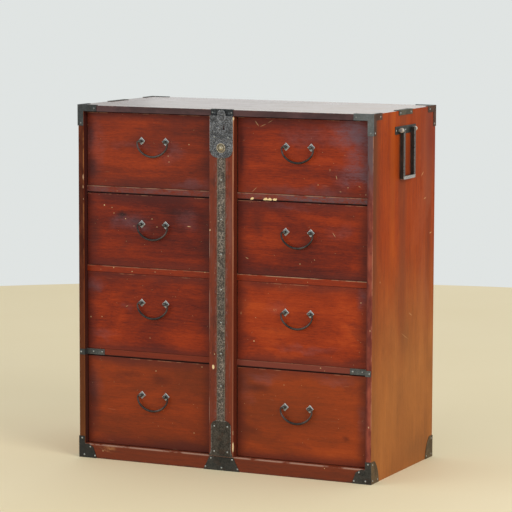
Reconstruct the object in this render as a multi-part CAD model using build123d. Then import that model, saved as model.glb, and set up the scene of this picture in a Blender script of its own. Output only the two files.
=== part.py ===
"""Isho clothing chest with eight drawers in two columns and an upright locking bar.

Millimetres. +X is to the right of the chest, +Y to its back and +Z up. Pieces are built
with y = 0 on the front edges of the case, and are moved as they are written, so that
the origin lies on the floor at the centre of the chest's footprint.
"""
from build123d import *
from math import hypot
import os

os.makedirs("parts", exist_ok=True)

# --- case boards
case_width = 909.0
case_depth = 455.0
side_t = 17.0
top_t = 17.0
bottom_t = 15.0
back_t = 8.0
back_planks = 4
back_lift = 2.0          # the back boards stop short of the floor
base_rail_height = 41.0
base_rail_t = 26.0
recess = 20.0            # drawer fronts, rails and stile lie behind the case's front edges
rail_height = 18.0
dust_board_t = 7.0
groove_depth = 5.0       # housing of the dust boards in the sides and the partition
partition_t = 21.0
stile_t = 18.0
guide_height = 18.0
board_edge_r = 1.2       # worn front edges

# --- rows of drawers from the top: clear height, and drop from its top to the handle's posts
opening_heights = (213.0, 210.0, 223.0, 257.0)
post_drops = (80.5, 85.0, 81.5, 106.0)

# --- drawers
drawer_length = 415.0
front_t = 18.0
box_side_t = 9.0
box_back_t = 9.0
box_bottom_t = 7.0
box_drop = 6.0           # the box stands lower than its front
seat_gap = 0.3
top_gaps = (2.0, 1.8, 0.5, 2.0)  # above the drawers of each row
side_gap = 0.6
front_edge_r = 1.5

# --- drawer handle
post_spacing = 76.0
eye_stand_off = 9.0      # from the drawer front to the bail's axis
eye_length = 7.0
eye_r = 4.6
eye_edge_r = 0.8
post_shank_r = 2.5
clinch_length = 30.0
clinch_width = 3.2
clinch_t = 1.2
washer_side = 16.4
washer_t = 1.4
bail_rod_r = 2.4
bail_play = 1.0          # between the end of an eye and the bend of the bail
bail_drop = 43.5
bail_bow_excess = 6.5    # of the bow's radius over half the bail's width
bail_corner_r = 5.0
bail_leg = 0.9           # the straight below the bend
bail_pin_end = 2.0       # what stands out of the eye on the inner side

# --- locking bar
bar_width = 75.0
bar_proud = 4.0          # in front of the case's front edges
bar_seat_gap = 0.3
bar_top_gap = 1.0
bar_edge_gap = 0.4       # the stile is wider than the bar by this, each side
bar_edge_r = 1.6
tenon_width = 30.0
tenon_t = 10.0
tenon_length = 10.0
tenon_set_back = 10.0    # behind the bar's front face
mortise_gap = 0.3
bolt_width = 12.0
bolt_t = 8.0
bolt_length = 45.0
bolt_set_back = 10.0
bolt_drop = 0.3          # below the bar's top when it is drawn back
bolt_throw = 8.0
bolt_gap = 0.3
strap_width = 26.0
strap_t = 1.2
strap_nail_gaps = (62.0, 110.0, 98.0, 99.0, 93.0, 88.0, 92.0, 98.0)  # uneven, set by hand
lock_plate_width = 70.0
lock_plate_t = 2.0
lock_plate_foot = 116.0  # from the top board's underside to the plate's lowest edge
lock_shoulder_r = 22.0
lock_nail_inset = 14.0
lock_nail_drop = 59.0
tongue_width = 24.0
tongue_rise = 17.0
keyhole_x = 8.0
keyhole_drop = 22.0
keyhole_slot = 14.0
keyhole_width = 2.6
keyhole_r = 2.6
keyhole_depth = 8.0
boss_drop = 89.0
boss_r = 13.5
boss_height = 5.0
boss_disc_t = 1.4
boss_rim_r = 1.4
boss_rim_inset = 0.3
boss_dome_r = 7.2
boss_dome_rise = 2.6
boss_nipple_r = 2.4
boss_nipple_rise = 1.4
foot_plate_width = 61.0
foot_plate_height = 101.0
foot_plate_t = 1.5
foot_shoulder_r = 17.0
foot_flare = 6.0
foot_flare_height = 17.0
foot_nail_inset = 10.0
foot_nail_low = 13.0     # above the plate's foot
foot_nail_high = 16.0    # below its head

# --- case irons
iron_t = 1.5
corner_leg = 60.0
corner_side_flange = 17.0
corner_top_flange = 8.0
base_iron_height = 62.0
base_iron_reach = 56.0
base_iron_side_reach = 54.0
base_iron_side_neck = 24.0
base_iron_margin = 1.0   # from the drawer that slides over it
rail_strap_reach = 55.0
rail_strap_margin = 0.8
strike_width = 68.0
strike_flange = 6.0
base_plate_top = 74.0
base_plate_bottom = 112.0
base_plate_margin = 2.5  # below the base rail's top
base_iron_nail_x = 35.0  # the nail in the iron's shoulder, from the case's side
base_iron_nail_drop = 9.0
edge_plate_length = 100.0
edge_plate_drop = 13.0
edge_plate_flange = 15.0

# --- carrying handles on the sides
pole_post_drop = 53.7    # from the top of the case to the handles' axis
pole_plate_length = 151.0
pole_plate_height = 22.0
pole_post_spacing = 97.0
pole_stand_off = 9.0
pole_eye_r = 6.5
pole_eye_length = 9.0
pole_shank_r = 4.0
pole_shank_reach = 13.0
pole_leg_gap = 1.0       # between a leg and the eye beside it
pole_leg_width = 9.0
pole_leg_t = 11.0
pole_length = 136.5      # from the axis to the bottom of the handle
pole_corner_r = 4.0
pole_pin_r = 3.5
pole_pin_end = 2.0

# --- fits and nails
pin_gap = 0.08           # radial, of a bail in its eye
shank_gap = 0.1
nail_head_r = 2.5
nail_head_rise = 1.1
nail_shank_r = 0.9
nail_shank_length = 9.0

# --- places that follow from these sizes
half_width = case_width / 2
inner_x = half_width - side_t
stile_x = bar_width / 2 + bar_edge_gap
case_height = top_t + sum(opening_heights) + rail_height * 3 + base_rail_height
top_z = case_height - top_t
back_y = case_depth - back_t
behind_rail_y = recess + stile_t
bar_front_y = -bar_proud
bar_foot_z = base_rail_height + bar_seat_gap
bar_head_z = top_z - bar_top_gap
mid_y = case_depth / 2
pole_z = case_height - pole_post_drop
foremost_y = bar_front_y - lock_plate_t - boss_height
rearmost_y = case_depth + iron_t
to_origin = Pos(0, -(foremost_y + rearmost_y) / 2, 0)

ceilings = [top_z - sum(opening_heights[:i]) - rail_height * i for i in range(4)]
floors = [ceiling - height for ceiling, height in zip(ceilings, opening_heights)]

nodes = {}


def block(x0, x1, y0, y1, z0, z1):
    """A box between two corners."""
    return Pos(x0, y0, z0) * Box(x1 - x0, y1 - y0, z1 - z0, align=(Align.MIN, Align.MIN, Align.MIN))


def joined(solids):
    """The solids fused to one."""
    first, *others = solids
    return first.fuse(*others).clean()


def mirrored_x(shape):
    return shape.mirror(Plane.YZ)


def mirrored_y(shape):
    """The same piece at the back of the case."""
    return shape.mirror(Plane.XZ.offset(-mid_y))


def front_plate(outline, y, t):
    """A plate that lies against a wall at y and stands out of it by t towards the front."""
    return extrude(Plane.XZ.offset(-y) * outline, t)


def cap(radius, rise):
    """The cap of a ball that stands on z = 0."""
    ball_r = (radius**2 + rise**2) / (2 * rise)
    ball = Pos(0, 0, rise - ball_r) * Sphere(ball_r)
    return ball & Cylinder(radius, rise, align=(Align.CENTER, Align.CENTER, Align.MIN))


def rounded_front(board, radius, y):
    """A board with its edges on the plane y worn round."""
    edges = board.edges().filter_by_position(Axis.Y, y - 0.01, y + 0.01)
    return fillet(edges, radius)


# ---------------------------------------------------------------- case
def dust_board(floor, sign):
    """A thin board that carries a drawer, housed in the side and in the partition."""
    near = partition_t / 2 - groove_depth
    far = inner_x + groove_depth
    x0, x1 = sorted((sign * near, sign * far))
    return block(x0, x1, behind_rail_y, back_y, floor - dust_board_t, floor)


dust_boards = [dust_board(floor, sign) for floor in floors[:3] for sign in (-1, 1)]


def side_board(sign):
    """A side with a mitred head, pole post holes and housings for the dust boards."""
    profile = Polyline(
        (inner_x, 0), (half_width, 0), (half_width, case_height), (inner_x, top_z), close=True
    )
    board = front_plate(make_face(profile), case_depth, case_depth)
    worn = board.edges().filter_by(Axis.Z).filter_by_position(Axis.Y, -0.01, 0.01)
    board = fillet(worn, board_edge_r)
    if sign < 0:
        board = mirrored_x(board)
    board -= dust_boards
    for y in pole_post_places():
        board -= pole_shank(sign, y, pole_shank_r + shank_gap)
    return board


def top_board():
    """The top, mitred onto the sides, with a mortise for the lock's bolt."""
    profile = Polyline(
        (-half_width, case_height), (half_width, case_height), (inner_x, top_z), (-inner_x, top_z),
        close=True,
    )
    board = front_plate(make_face(profile), case_depth, case_depth)
    y0 = bar_front_y + bolt_set_back - bolt_gap
    y1 = y0 + bolt_t + 2 * bolt_gap
    x = bolt_width / 2 + bolt_gap
    return board - block(-x, x, y0, y1, top_z, top_z + bolt_throw + bolt_gap)


def base_rail():
    """The front rail of the base, with the mortise in which the bar's tenon rocks."""
    rail = block(-inner_x, inner_x, 0, base_rail_t, 0, base_rail_height)
    rail = rounded_front(rail, board_edge_r, 0)
    tenon_front = bar_front_y + tenon_set_back
    swing = hypot(tenon_set_back + tenon_t, tenon_length)
    x = tenon_width / 2 + mortise_gap
    mortise = block(
        -x, x, tenon_front - mortise_gap, bar_front_y + swing + mortise_gap,
        bar_foot_z - tenon_length - mortise_gap * 2, base_rail_height,
    )
    return rail - mortise


def back_board(index):
    plank = (top_z - back_lift) / back_planks
    z0 = back_lift + index * plank
    return block(-inner_x, inner_x, back_y, case_depth, z0, z0 + plank)


def row_rail(floor, sign):
    x0, x1 = sorted((sign * stile_x, sign * inner_x))
    return block(x0, x1, recess, behind_rail_y, floor - rail_height, floor)


def drawer_guide(floor, sign):
    """A batten beside the partition that keeps a drawer straight behind the stile."""
    x0, x1 = sorted((sign * partition_t / 2, sign * stile_x))
    return block(x0, x1, behind_rail_y, back_y, floor, floor + guide_height)


def centre_divider():
    """The stile behind the locking bar, and the partition board that it covers."""
    stile = block(-stile_x, stile_x, recess, behind_rail_y, base_rail_height, top_z)
    x = partition_t / 2
    partition = block(-x, x, behind_rail_y, back_y, base_rail_height, top_z)
    return [stile, partition - dust_boards]


# ---------------------------------------------------------------- case irons
def nail(x, y, z, direction):
    """A nail with a domed head on the surface at x, y, z; direction points out of the wood."""
    dome = cap(nail_head_r, nail_head_rise)
    shank = Cylinder(nail_shank_r, nail_shank_length, align=(Align.CENTER, Align.CENTER, Align.MAX))
    plane = Plane(origin=(x, y, z), z_dir=direction)
    return plane * joined([dome, shank])


def front_nail(x, y, z):
    return nail(x, y, z, (0, -1, 0))


def side_nail(y, z):
    return nail(half_width + iron_t, y, z, (1, 0, 0))


def on_both_sides(shapes):
    return shapes + [mirrored_x(shape) for shape in shapes]


def on_four_corners(shapes):
    sides = on_both_sides(shapes)
    return sides + [mirrored_y(shape) for shape in sides]


def top_corner_iron():
    """Three angle legs along the edges that meet at the top right front corner."""
    x1 = half_width + iron_t
    z1 = case_height + iron_t
    x_leg = x1 - corner_leg
    z_leg = z1 - corner_leg
    y_leg = corner_leg - iron_t
    z_side = case_height - corner_side_flange
    x_top = half_width - corner_top_flange
    return joined([
        block(x_leg, x1, -iron_t, 0, top_z, z1),
        block(inner_x, x1, -iron_t, 0, z_leg, z1),
        block(half_width, x1, -iron_t, y_leg, z_side, z1),
        block(half_width, x1, -iron_t, corner_side_flange, z_leg, z1),
        block(x_leg, x1, -iron_t, corner_top_flange, case_height, z1),
        block(x_top, x1, -iron_t, y_leg, case_height, z1),
    ])


def top_corner_nails():
    end = corner_leg - 9
    return [
        front_nail(half_width - end, -iron_t, case_height - top_t / 2),
        front_nail(half_width - side_t / 2, -iron_t, case_height - end),
        side_nail(corner_side_flange / 2, case_height - end),
        side_nail(end - 6, case_height - corner_side_flange / 2),
    ]


def base_corner_iron():
    """A shouldered plate on the front and a curved one on the side of a base corner."""
    x1 = half_width + iron_t
    foot = half_width - base_iron_reach
    crest = base_rail_height - base_iron_margin
    front = Polyline(
        (x1, 0), (foot, 0), (foot + 12, crest - 8), (inner_x - 12, crest), (inner_x, crest),
        (inner_x, base_iron_height), (x1, base_iron_height), close=True,
    )
    front = front_plate(make_face(front), 0, iron_t)
    side_head = (base_iron_side_neck, base_iron_height)
    side_foot = (base_iron_side_reach, 0)
    bulge = (base_iron_side_reach * 0.85, base_iron_height * 0.55)
    side = Polyline(side_foot, (-iron_t, 0), (-iron_t, base_iron_height), side_head)
    side += ThreePointArc(side_head, bulge, side_foot)
    side = extrude(Plane.YZ.offset(half_width) * make_face(side), iron_t)
    return joined([front, side])


def base_corner_nails():
    x = half_width
    return [
        front_nail(x - side_t / 2, -iron_t, base_iron_height - 6),
        front_nail(x - side_t / 2 - 7, -iron_t, 8.5),
        front_nail(x - base_iron_nail_x, -iron_t, base_rail_height - base_iron_nail_drop),
        front_nail(x - base_iron_reach + 6, -iron_t, 7),
        side_nail(9, base_iron_height - 8),
        side_nail(base_iron_side_reach - 9, 8),
        side_nail(10, 9),
    ]


def rail_strap():
    """A strap bent from the side's front edge, round the recess, onto the lowest rail."""
    z0 = ceilings[3] + rail_strap_margin
    z1 = floors[2] - rail_strap_margin
    return joined([
        block(inner_x - iron_t, half_width - 2, -iron_t, 0, z0, z1),
        block(inner_x - iron_t, inner_x, -iron_t, recess, z0, z1),
        block(inner_x - rail_strap_reach, inner_x, recess - iron_t, recess, z0, z1),
    ])


def rail_strap_nails():
    z = (ceilings[3] + floors[2]) / 2
    y = recess - iron_t
    return [
        front_nail(half_width - side_t / 2 + 2, -iron_t, z),
        front_nail(inner_x - rail_strap_reach + 8, y, z),
        front_nail(inner_x - rail_strap_reach / 2 + 9, y, z),
    ]


def strike_plate():
    """The plate on the top's front edge, above the bar, with a flange on the top."""
    x = strike_width / 2
    z1 = case_height + iron_t
    return joined([
        block(-x, x, -iron_t, 0, top_z, z1),
        block(-x, x, -iron_t, strike_flange, case_height, z1),
    ])


def base_plate():
    """The spreading plate that backs the thin wood in front of the tenon's mortise."""
    top, bottom = base_plate_top / 2, base_plate_bottom / 2
    z1 = base_rail_height - base_plate_margin
    outline = Polyline((-bottom, 0), (bottom, 0), (top, z1), (-top, z1), close=True)
    return front_plate(make_face(outline), 0, iron_t)


def centre_nails():
    """Nails of the strike plate and of the base plate."""
    foot_x = base_plate_bottom / 2 - 6
    head_x = base_plate_top / 2 - 4
    low, high = 7.5, base_rail_height - base_plate_margin - 5.5
    strike_x = strike_width / 2 - 5
    places = [(-foot_x, low), (0, low), (foot_x, low), (-head_x, high), (head_x, high)]
    places += [(-strike_x, top_z + top_t / 2), (strike_x, top_z + top_t / 2)]
    return [front_nail(x, -iron_t, z) for x, z in places]


def edge_plate():
    """The plate bent over the top edge above a carrying handle."""
    y0 = mid_y - edge_plate_length / 2
    y1 = mid_y + edge_plate_length / 2
    x1 = half_width + iron_t
    z1 = case_height + iron_t
    return joined([
        block(half_width, x1, y0, y1, case_height - edge_plate_drop, z1),
        block(half_width - edge_plate_flange, x1, y0, y1, case_height, z1),
    ])


def edge_plate_nails():
    z = case_height - edge_plate_drop / 2
    reach = edge_plate_length / 2 - 12
    return [side_nail(mid_y - reach, z), side_nail(mid_y + reach, z)]


# ---------------------------------------------------------------- carrying handles
def pole_post_places():
    return [mid_y - pole_post_spacing / 2, mid_y + pole_post_spacing / 2]


def pole_shank(sign, y, radius):
    """The shank of a carrying handle's post, from inside the side board to the eye."""
    start = half_width - pole_shank_reach
    length = pole_shank_reach + pole_stand_off - pole_eye_r * 0.6
    plane = Plane(origin=(sign * start, y, pole_z), z_dir=(sign, 0, 0))
    return plane * Cylinder(radius, length, align=(Align.CENTER, Align.CENTER, Align.MIN))


def pole_axis_rod(y0, y1, radius):
    """A rod on the right handle's axis from y0 to y1."""
    plane = Plane(origin=(half_width + pole_stand_off, y0, pole_z), z_dir=(0, 1, 0))
    return plane * Cylinder(radius, y1 - y0, align=(Align.CENTER, Align.CENTER, Align.MIN))


def pole_post(y):
    """An eye on a shank that is driven into the side."""
    half = pole_eye_length / 2
    eye = pole_axis_rod(y - half, y + half, pole_eye_r)
    eye = fillet(eye.edges().filter_by(GeomType.CIRCLE), 1.2)
    post = joined([eye, pole_shank(1, y, pole_shank_r)])
    return post - pole_axis_rod(y - half, y + half, pole_pin_r + pin_gap)


def pole_plate():
    """The backplate under the posts."""
    half_l = pole_plate_length / 2
    half_h = pole_plate_height / 2
    plate = block(
        half_width, half_width + iron_t, mid_y - half_l, mid_y + half_l, pole_z - half_h,
        pole_z + half_h,
    )
    for y in pole_post_places():
        plate -= pole_shank(1, y, pole_shank_r + shank_gap)
    return plate


def pole_plate_nails():
    reach = pole_plate_length / 2 - 7
    places = [mid_y - reach, mid_y, mid_y + reach]
    return [side_nail(y, pole_z) for y in places]


def pole_handle():
    """A square-shouldered bail whose round ends turn outwards through the eyes."""
    half = (pole_post_spacing - pole_eye_length - pole_leg_width) / 2 - pole_leg_gap
    x = half_width + pole_stand_off
    outer = half + pole_leg_width / 2
    inner = half - pole_leg_width / 2
    top = pole_z + pole_leg_t / 2
    foot = pole_z - pole_length
    outline = Polyline(
        (-outer, top), (-outer, foot), (outer, foot), (outer, top), (inner, top),
        (inner, foot + pole_leg_width), (-inner, foot + pole_leg_width), (-inner, top), close=True,
    )
    bail = extrude(
        Plane.YZ.offset(x - pole_leg_t / 2) * Pos(mid_y, 0) * make_face(outline), pole_leg_t
    )
    low = bail.edges().filter_by(Axis.X).filter_by_position(Axis.Z, foot - 1, foot + 1)
    bail = fillet(low, pole_corner_r)
    heads = bail.edges().filter_by(Axis.Y).filter_by_position(Axis.Z, top - 0.1, top + 0.1)
    bail = fillet(heads, pole_leg_t / 2 - 0.5)
    pin = pole_post_spacing / 2 + pole_eye_length / 2 + pole_pin_end
    pins = [
        pole_axis_rod(mid_y - pin, mid_y - half, pole_pin_r),
        pole_axis_rod(mid_y + half, mid_y + pin, pole_pin_r),
    ]
    return joined([bail] + pins)


# ---------------------------------------------------------------- drawers
def drawer_x(sign):
    """The near and far ends of a drawer front, with its running gaps."""
    return sorted((sign * (stile_x + side_gap), sign * (inner_x - side_gap)))


def handle_x(sign):
    """A handle is centred between the thin partition and the side."""
    return sign * (partition_t / 2 + inner_x) / 2


def post_x(sign):
    return [handle_x(sign) - post_spacing / 2, handle_x(sign) + post_spacing / 2]


def along_y(x, y0, y1, z, radius):
    plane = Plane(origin=(x, y0, z), z_dir=(0, 1, 0))
    return plane * Cylinder(radius, y1 - y0, align=(Align.CENTER, Align.CENTER, Align.MIN))


def along_x(x, y, z, length, radius):
    """A rod centred on x, y, z."""
    return Plane(origin=(x, y, z), z_dir=(1, 0, 0)) * Cylinder(radius, length)


def drawer_front(row, sign):
    x0, x1 = drawer_x(sign)
    z0 = floors[row] + seat_gap
    z1 = ceilings[row] - top_gaps[row]
    front = block(x0, x1, recess, recess + front_t, z0, z1)
    front = rounded_front(front, front_edge_r, recess)
    post_z = ceilings[row] - post_drops[row]
    for x in post_x(sign):
        front -= along_y(x, recess, recess + front_t, post_z, post_shank_r + shank_gap)
    return front


def drawer_box(row, sign):
    """Two sides and a back that stand on the bottom board."""
    x0, x1 = drawer_x(sign)
    y0 = recess + front_t
    y1 = recess + drawer_length
    z0 = floors[row] + seat_gap
    z_floor = z0 + box_bottom_t
    z1 = ceilings[row] - top_gaps[row] - box_drop
    return [
        block(x0, x1, y0, y1, z0, z_floor),
        block(x0, x0 + box_side_t, y0, y1, z_floor, z1),
        block(x1 - box_side_t, x1, y0, y1, z_floor, z1),
        block(x0 + box_side_t, x1 - box_side_t, y1 - box_back_t, y1, z_floor, z1),
    ]


def handle_post(x, z):
    """A split pin: the eye, its shank through the front and the legs clinched behind."""
    eye_y = recess - eye_stand_off
    back = recess + front_t
    eye = along_x(x, eye_y, z, eye_length, eye_r)
    eye = fillet(eye.edges().filter_by(GeomType.CIRCLE), eye_edge_r)
    shank = along_y(x, eye_y + eye_r * 0.6, back, z, post_shank_r)
    half_l, half_w = clinch_length / 2, clinch_width / 2
    legs = block(x - half_l, x + half_l, back, back + clinch_t, z - half_w, z + half_w)
    post = joined([eye, shank, legs])
    return post - along_x(x, eye_y, z, eye_length + 1, bail_rod_r + pin_gap)


def handle_washer(x, z):
    """A square washer that stands on its corner."""
    outline = Rot(0, 0, 45) * Rectangle(washer_side, washer_side)
    washer = front_plate(Pos(x, z) * outline, recess, washer_t)
    rim = washer.edges().filter_by_position(Axis.Y, recess - washer_t - 0.01, recess - washer_t + 0.01)
    washer = chamfer(rim, washer_t * 0.6)
    hole = along_y(x, recess - washer_t, recess, z, post_shank_r + shank_gap)
    return washer - hole


def handle_posts(row, sign):
    z = ceilings[row] - post_drops[row]
    pieces = []
    for x in post_x(sign):
        pieces += [handle_post(x, z), handle_washer(x, z)]
    return pieces


def bail_path():
    """The rod's centre line in x and z about the middle of its axis: a flat bow between two
    tighter sides, with the ends turned in to the eyes. The sides' radius r makes the sides
    tangent to the bow and to the legs."""
    pin = post_spacing / 2 - eye_length / 2 - bail_pin_end
    elbow = post_spacing / 2 + eye_length / 2 + bail_play
    width = elbow + bail_corner_r
    bow_r = width + bail_bow_excess
    leg_z = -bail_corner_r - bail_leg
    bow_z = bow_r - bail_drop
    reach = bow_z - leg_z
    r = (bow_r**2 - width**2 - reach**2) / (2 * (bow_r - width))
    lean = (width - r) / (bow_r - r)
    rise = reach / (bow_r - r)
    bow = (bow_r * lean, bow_z - bow_r * rise)
    pin_line = Line((-pin, 0), (-elbow, 0))
    corner = TangentArc((-elbow, 0), (-width, -bail_corner_r), tangent=(-1, 0))
    leg = Line((-width, -bail_corner_r), (-width, leg_z))
    side = TangentArc((-width, leg_z), (-bow[0], bow[1]), tangent=(0, -1))
    bottom = ThreePointArc((-bow[0], bow[1]), (0, -bail_drop), bow)
    half = [pin_line, corner, leg, side]
    return Wire(half + [bottom] + [edge.mirror(Plane.YZ) for edge in half])


def bail_solid():
    path = Plane.XZ * bail_path()
    section = Plane(origin=path @ 0, z_dir=path % 0) * Circle(bail_rod_r)
    return sweep(section, path=path)


def handle_bail(row, sign):
    z = ceilings[row] - post_drops[row]
    return Pos(handle_x(sign), recess - eye_stand_off, z) * bail_solid()


# ---------------------------------------------------------------- locking bar
def lock_bar():
    """The wooden bar with its foot tenon, the bolt's mortise and the keyhole's pocket."""
    x = bar_width / 2
    y1 = recess - bar_seat_gap
    bar = block(-x, x, bar_front_y, y1, bar_foot_z, bar_head_z)
    long_edges = bar.edges().filter_by(Axis.Z)
    bar = fillet(long_edges.filter_by_position(Axis.Y, bar_front_y - 1, bar_front_y + 1), bar_edge_r)
    half = tenon_width / 2
    tenon_y = bar_front_y + tenon_set_back
    tenon = block(-half, half, tenon_y, tenon_y + tenon_t, bar_foot_z - tenon_length, bar_foot_z)
    bolt_y = bar_front_y + bolt_set_back
    half = bolt_width / 2 + bolt_gap
    foot = bar_head_z - bolt_drop - bolt_length - bolt_gap
    mortise = block(-half, half, bolt_y - bolt_gap, bolt_y + bolt_t + bolt_gap, foot, bar_head_z)
    pocket = front_plate(keyhole(), bar_front_y + keyhole_depth, keyhole_depth)
    return joined([bar, tenon]) - mortise - pocket


def keyhole():
    """A slot with a round foot, in x and z."""
    top = top_z - keyhole_drop
    slot = Pos(keyhole_x, top - keyhole_slot / 2) * Rectangle(keyhole_width, keyhole_slot)
    return slot + Pos(keyhole_x, top - keyhole_slot) * Circle(keyhole_r)


def lock_bolt():
    y = bar_front_y + bolt_set_back
    half = bolt_width / 2
    z1 = bar_head_z - bolt_drop
    return block(-half, half, y, y + bolt_t, z1 - bolt_length, z1)


def lock_plate():
    """The lock's face with a rounded tongue in front of the strike plate."""
    foot = top_z - lock_plate_foot
    half = lock_plate_width / 2
    body = Pos(0, (foot + top_z) / 2) * Rectangle(lock_plate_width, lock_plate_foot)
    low = body.vertices().sort_by(Axis.Y)[:2]
    body = fillet(low, min(lock_shoulder_r, half - strap_width / 2))
    tongue = Pos(0, top_z + tongue_rise / 2 - 5) * Rectangle(tongue_width, tongue_rise + 10)
    tongue = fillet(tongue.vertices().sort_by(Axis.Y)[2:], tongue_width / 2 - 0.5)
    outline = body + tongue - keyhole()
    return front_plate(outline, bar_front_y, lock_plate_t)


def lock_boss():
    """A turned brass boss: a disc with a round rim and a nippled dome."""
    disc = Cylinder(boss_r, boss_disc_t, align=(Align.CENTER, Align.CENTER, Align.MIN))
    rim = Pos(0, 0, boss_disc_t) * Torus(boss_r - boss_rim_inset - boss_rim_r, boss_rim_r)
    dome = Pos(0, 0, boss_disc_t) * cap(boss_dome_r, boss_dome_rise)
    nipple = Pos(0, 0, boss_height - boss_nipple_rise) * cap(boss_nipple_r, boss_nipple_rise)
    plane = Plane(
        origin=(0, bar_front_y - lock_plate_t, top_z - boss_drop), z_dir=(0, -1, 0)
    )
    return plane * joined([disc, rim, dome, nipple])


def bar_strap():
    """The long strap between the lock plate and the foot plate."""
    half = strap_width / 2
    z0 = bar_foot_z + foot_plate_height
    z1 = top_z - lock_plate_foot
    return block(-half, half, bar_front_y - strap_t, bar_front_y, z0, z1)


def foot_plate():
    """The plate at the bar's foot, with a round head and a flared foot."""
    half = foot_plate_width / 2
    flare = half + foot_flare
    z0 = bar_foot_z
    z1 = z0 + foot_plate_height
    outline = make_face(Polyline(
        (-flare, z0), (flare, z0), (half, z0 + foot_flare_height), (half, z1), (-half, z1),
        (-half, z0 + foot_flare_height), close=True,
    ))
    outline = fillet(outline.vertices().sort_by(Axis.Y)[4:], foot_shoulder_r)
    return front_plate(outline, bar_front_y, foot_plate_t)


def bar_nails():
    """Nails down the strap, at the corners of the foot plate and above the boss."""
    strap_foot = bar_foot_z + foot_plate_height
    strap_head = top_z - lock_plate_foot
    stretch = (strap_head - strap_foot) / sum(strap_nail_gaps)
    drops = [sum(strap_nail_gaps[:i]) * stretch for i in range(1, len(strap_nail_gaps))]
    y = bar_front_y - strap_t
    nails = [front_nail(0, y, strap_head - drop) for drop in drops]
    y = bar_front_y - foot_plate_t
    x = foot_plate_width / 2 - foot_nail_inset
    for z in (bar_foot_z + foot_nail_low, bar_foot_z + foot_plate_height - foot_nail_high):
        nails += [front_nail(-x, y, z), front_nail(x, y, z)]
    y = bar_front_y - lock_plate_t
    x = lock_plate_width / 2 - lock_nail_inset
    z = top_z - lock_nail_drop
    return nails + [front_nail(-x, y, z), front_nail(x, y, z)]


# ---------------------------------------------------------------- the list of nodes
nodes["left_side"] = side_board(-1)
nodes["right_side"] = side_board(1)
nodes["top_board"] = top_board()
nodes["bottom_board"] = block(
    -inner_x, inner_x, base_rail_t, back_y, base_rail_height - bottom_t, base_rail_height
)
nodes["back_boards"] = [back_board(i) for i in range(back_planks)]
nodes["base_rail"] = base_rail()
nodes["centre_divider"] = centre_divider()
nodes["row_rails"] = [row_rail(floor, sign) for floor in floors[:3] for sign in (-1, 1)]
nodes["dust_boards"] = dust_boards
nodes["drawer_guides"] = [drawer_guide(floor, sign) for floor in floors for sign in (-1, 1)]
nodes["top_corner_irons"] = on_four_corners([top_corner_iron()])
nodes["base_corner_irons"] = on_four_corners([base_corner_iron()])
nodes["rail_straps"] = on_both_sides([rail_strap()])
nodes["strike_plate"] = strike_plate()
nodes["base_plate"] = base_plate()
nodes["edge_plates"] = on_both_sides([edge_plate()])
nodes["pole_plates"] = on_both_sides([pole_plate()])
nodes["pole_posts"] = on_both_sides([pole_post(y) for y in pole_post_places()])
nodes["case_nails"] = (
    on_four_corners(top_corner_nails() + base_corner_nails())
    + on_both_sides(rail_strap_nails() + edge_plate_nails() + pole_plate_nails())
    + centre_nails()
)
nodes["pole_handle_right"] = pole_handle()
nodes["pole_handle_left"] = mirrored_x(pole_handle())
nodes["lock_bar"] = lock_bar()
nodes["lock_bolt"] = lock_bolt()
nodes["lock_plate"] = lock_plate()
nodes["lock_boss"] = lock_boss()
nodes["bar_strap"] = bar_strap()
nodes["foot_plate"] = foot_plate()
nodes["bar_nails"] = bar_nails()

for row in range(4):
    for column, sign in (("left", -1), ("right", 1)):
        label = f"{column}_{row + 1}"
        nodes[f"drawer_front_{label}"] = drawer_front(row, sign)
        nodes[f"drawer_box_{label}"] = drawer_box(row, sign)
        nodes[f"handle_posts_{label}"] = handle_posts(row, sign)
        nodes[f"handle_bail_{label}"] = handle_bail(row, sign)

for name, pieces in nodes.items():
    if not isinstance(pieces, list):
        pieces = [pieces]
    solids = [solid for piece in pieces for solid in piece.solids()]
    export_step(to_origin * Compound(solids), f"parts/{name}.step")
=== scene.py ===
"""Isho clothing chest: finishes, wrought bails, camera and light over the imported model."""
import math
import bmesh
import bpy
from mathutils import Matrix, Vector


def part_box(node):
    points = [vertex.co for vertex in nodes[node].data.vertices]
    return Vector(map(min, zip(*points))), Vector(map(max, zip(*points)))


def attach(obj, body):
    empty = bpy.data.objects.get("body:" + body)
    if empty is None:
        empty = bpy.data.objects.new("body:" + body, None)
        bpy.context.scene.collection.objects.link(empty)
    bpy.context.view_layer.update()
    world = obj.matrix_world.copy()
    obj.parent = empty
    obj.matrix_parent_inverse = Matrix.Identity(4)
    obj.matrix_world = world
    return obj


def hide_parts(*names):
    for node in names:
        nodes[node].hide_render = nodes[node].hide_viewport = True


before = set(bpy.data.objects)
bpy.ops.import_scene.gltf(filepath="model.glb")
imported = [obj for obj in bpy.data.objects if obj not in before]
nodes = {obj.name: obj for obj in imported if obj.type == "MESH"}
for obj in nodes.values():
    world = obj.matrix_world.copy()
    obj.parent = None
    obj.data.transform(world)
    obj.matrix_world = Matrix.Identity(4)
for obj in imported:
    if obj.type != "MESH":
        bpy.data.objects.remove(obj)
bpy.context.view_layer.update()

FRONT = -0.22275          # front edges of the case
RECESS = FRONT + 0.02     # drawer fronts, rails and stile
BAR = FRONT - 0.004       # the locking bar's face
SIDE = 0.4545             # outer faces of the sides
INNER = 0.4375            # inner faces of the sides
TOP = 1.015
RAIL_TOPS = (0.785, 0.557, 0.316)
RAIL_HEIGHT = 0.018
BASE_TOP = 0.041          # of the base rail
ROWS = (1, 2, 3, 4)
COLUMNS = (("left", -1), ("right", 1))
POST_Z = {1: 0.9175, 2: 0.682, 3: 0.4575, 4: 0.192}
HANDLE_X = 0.224          # the middle of a drawer's handle
POST_HALF = 0.038         # from there to its posts
MID_Y = 0.00475           # the middle of the sides
POLE_HALF = 0.0385        # from there to the middle of a carrying handle's leg
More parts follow.
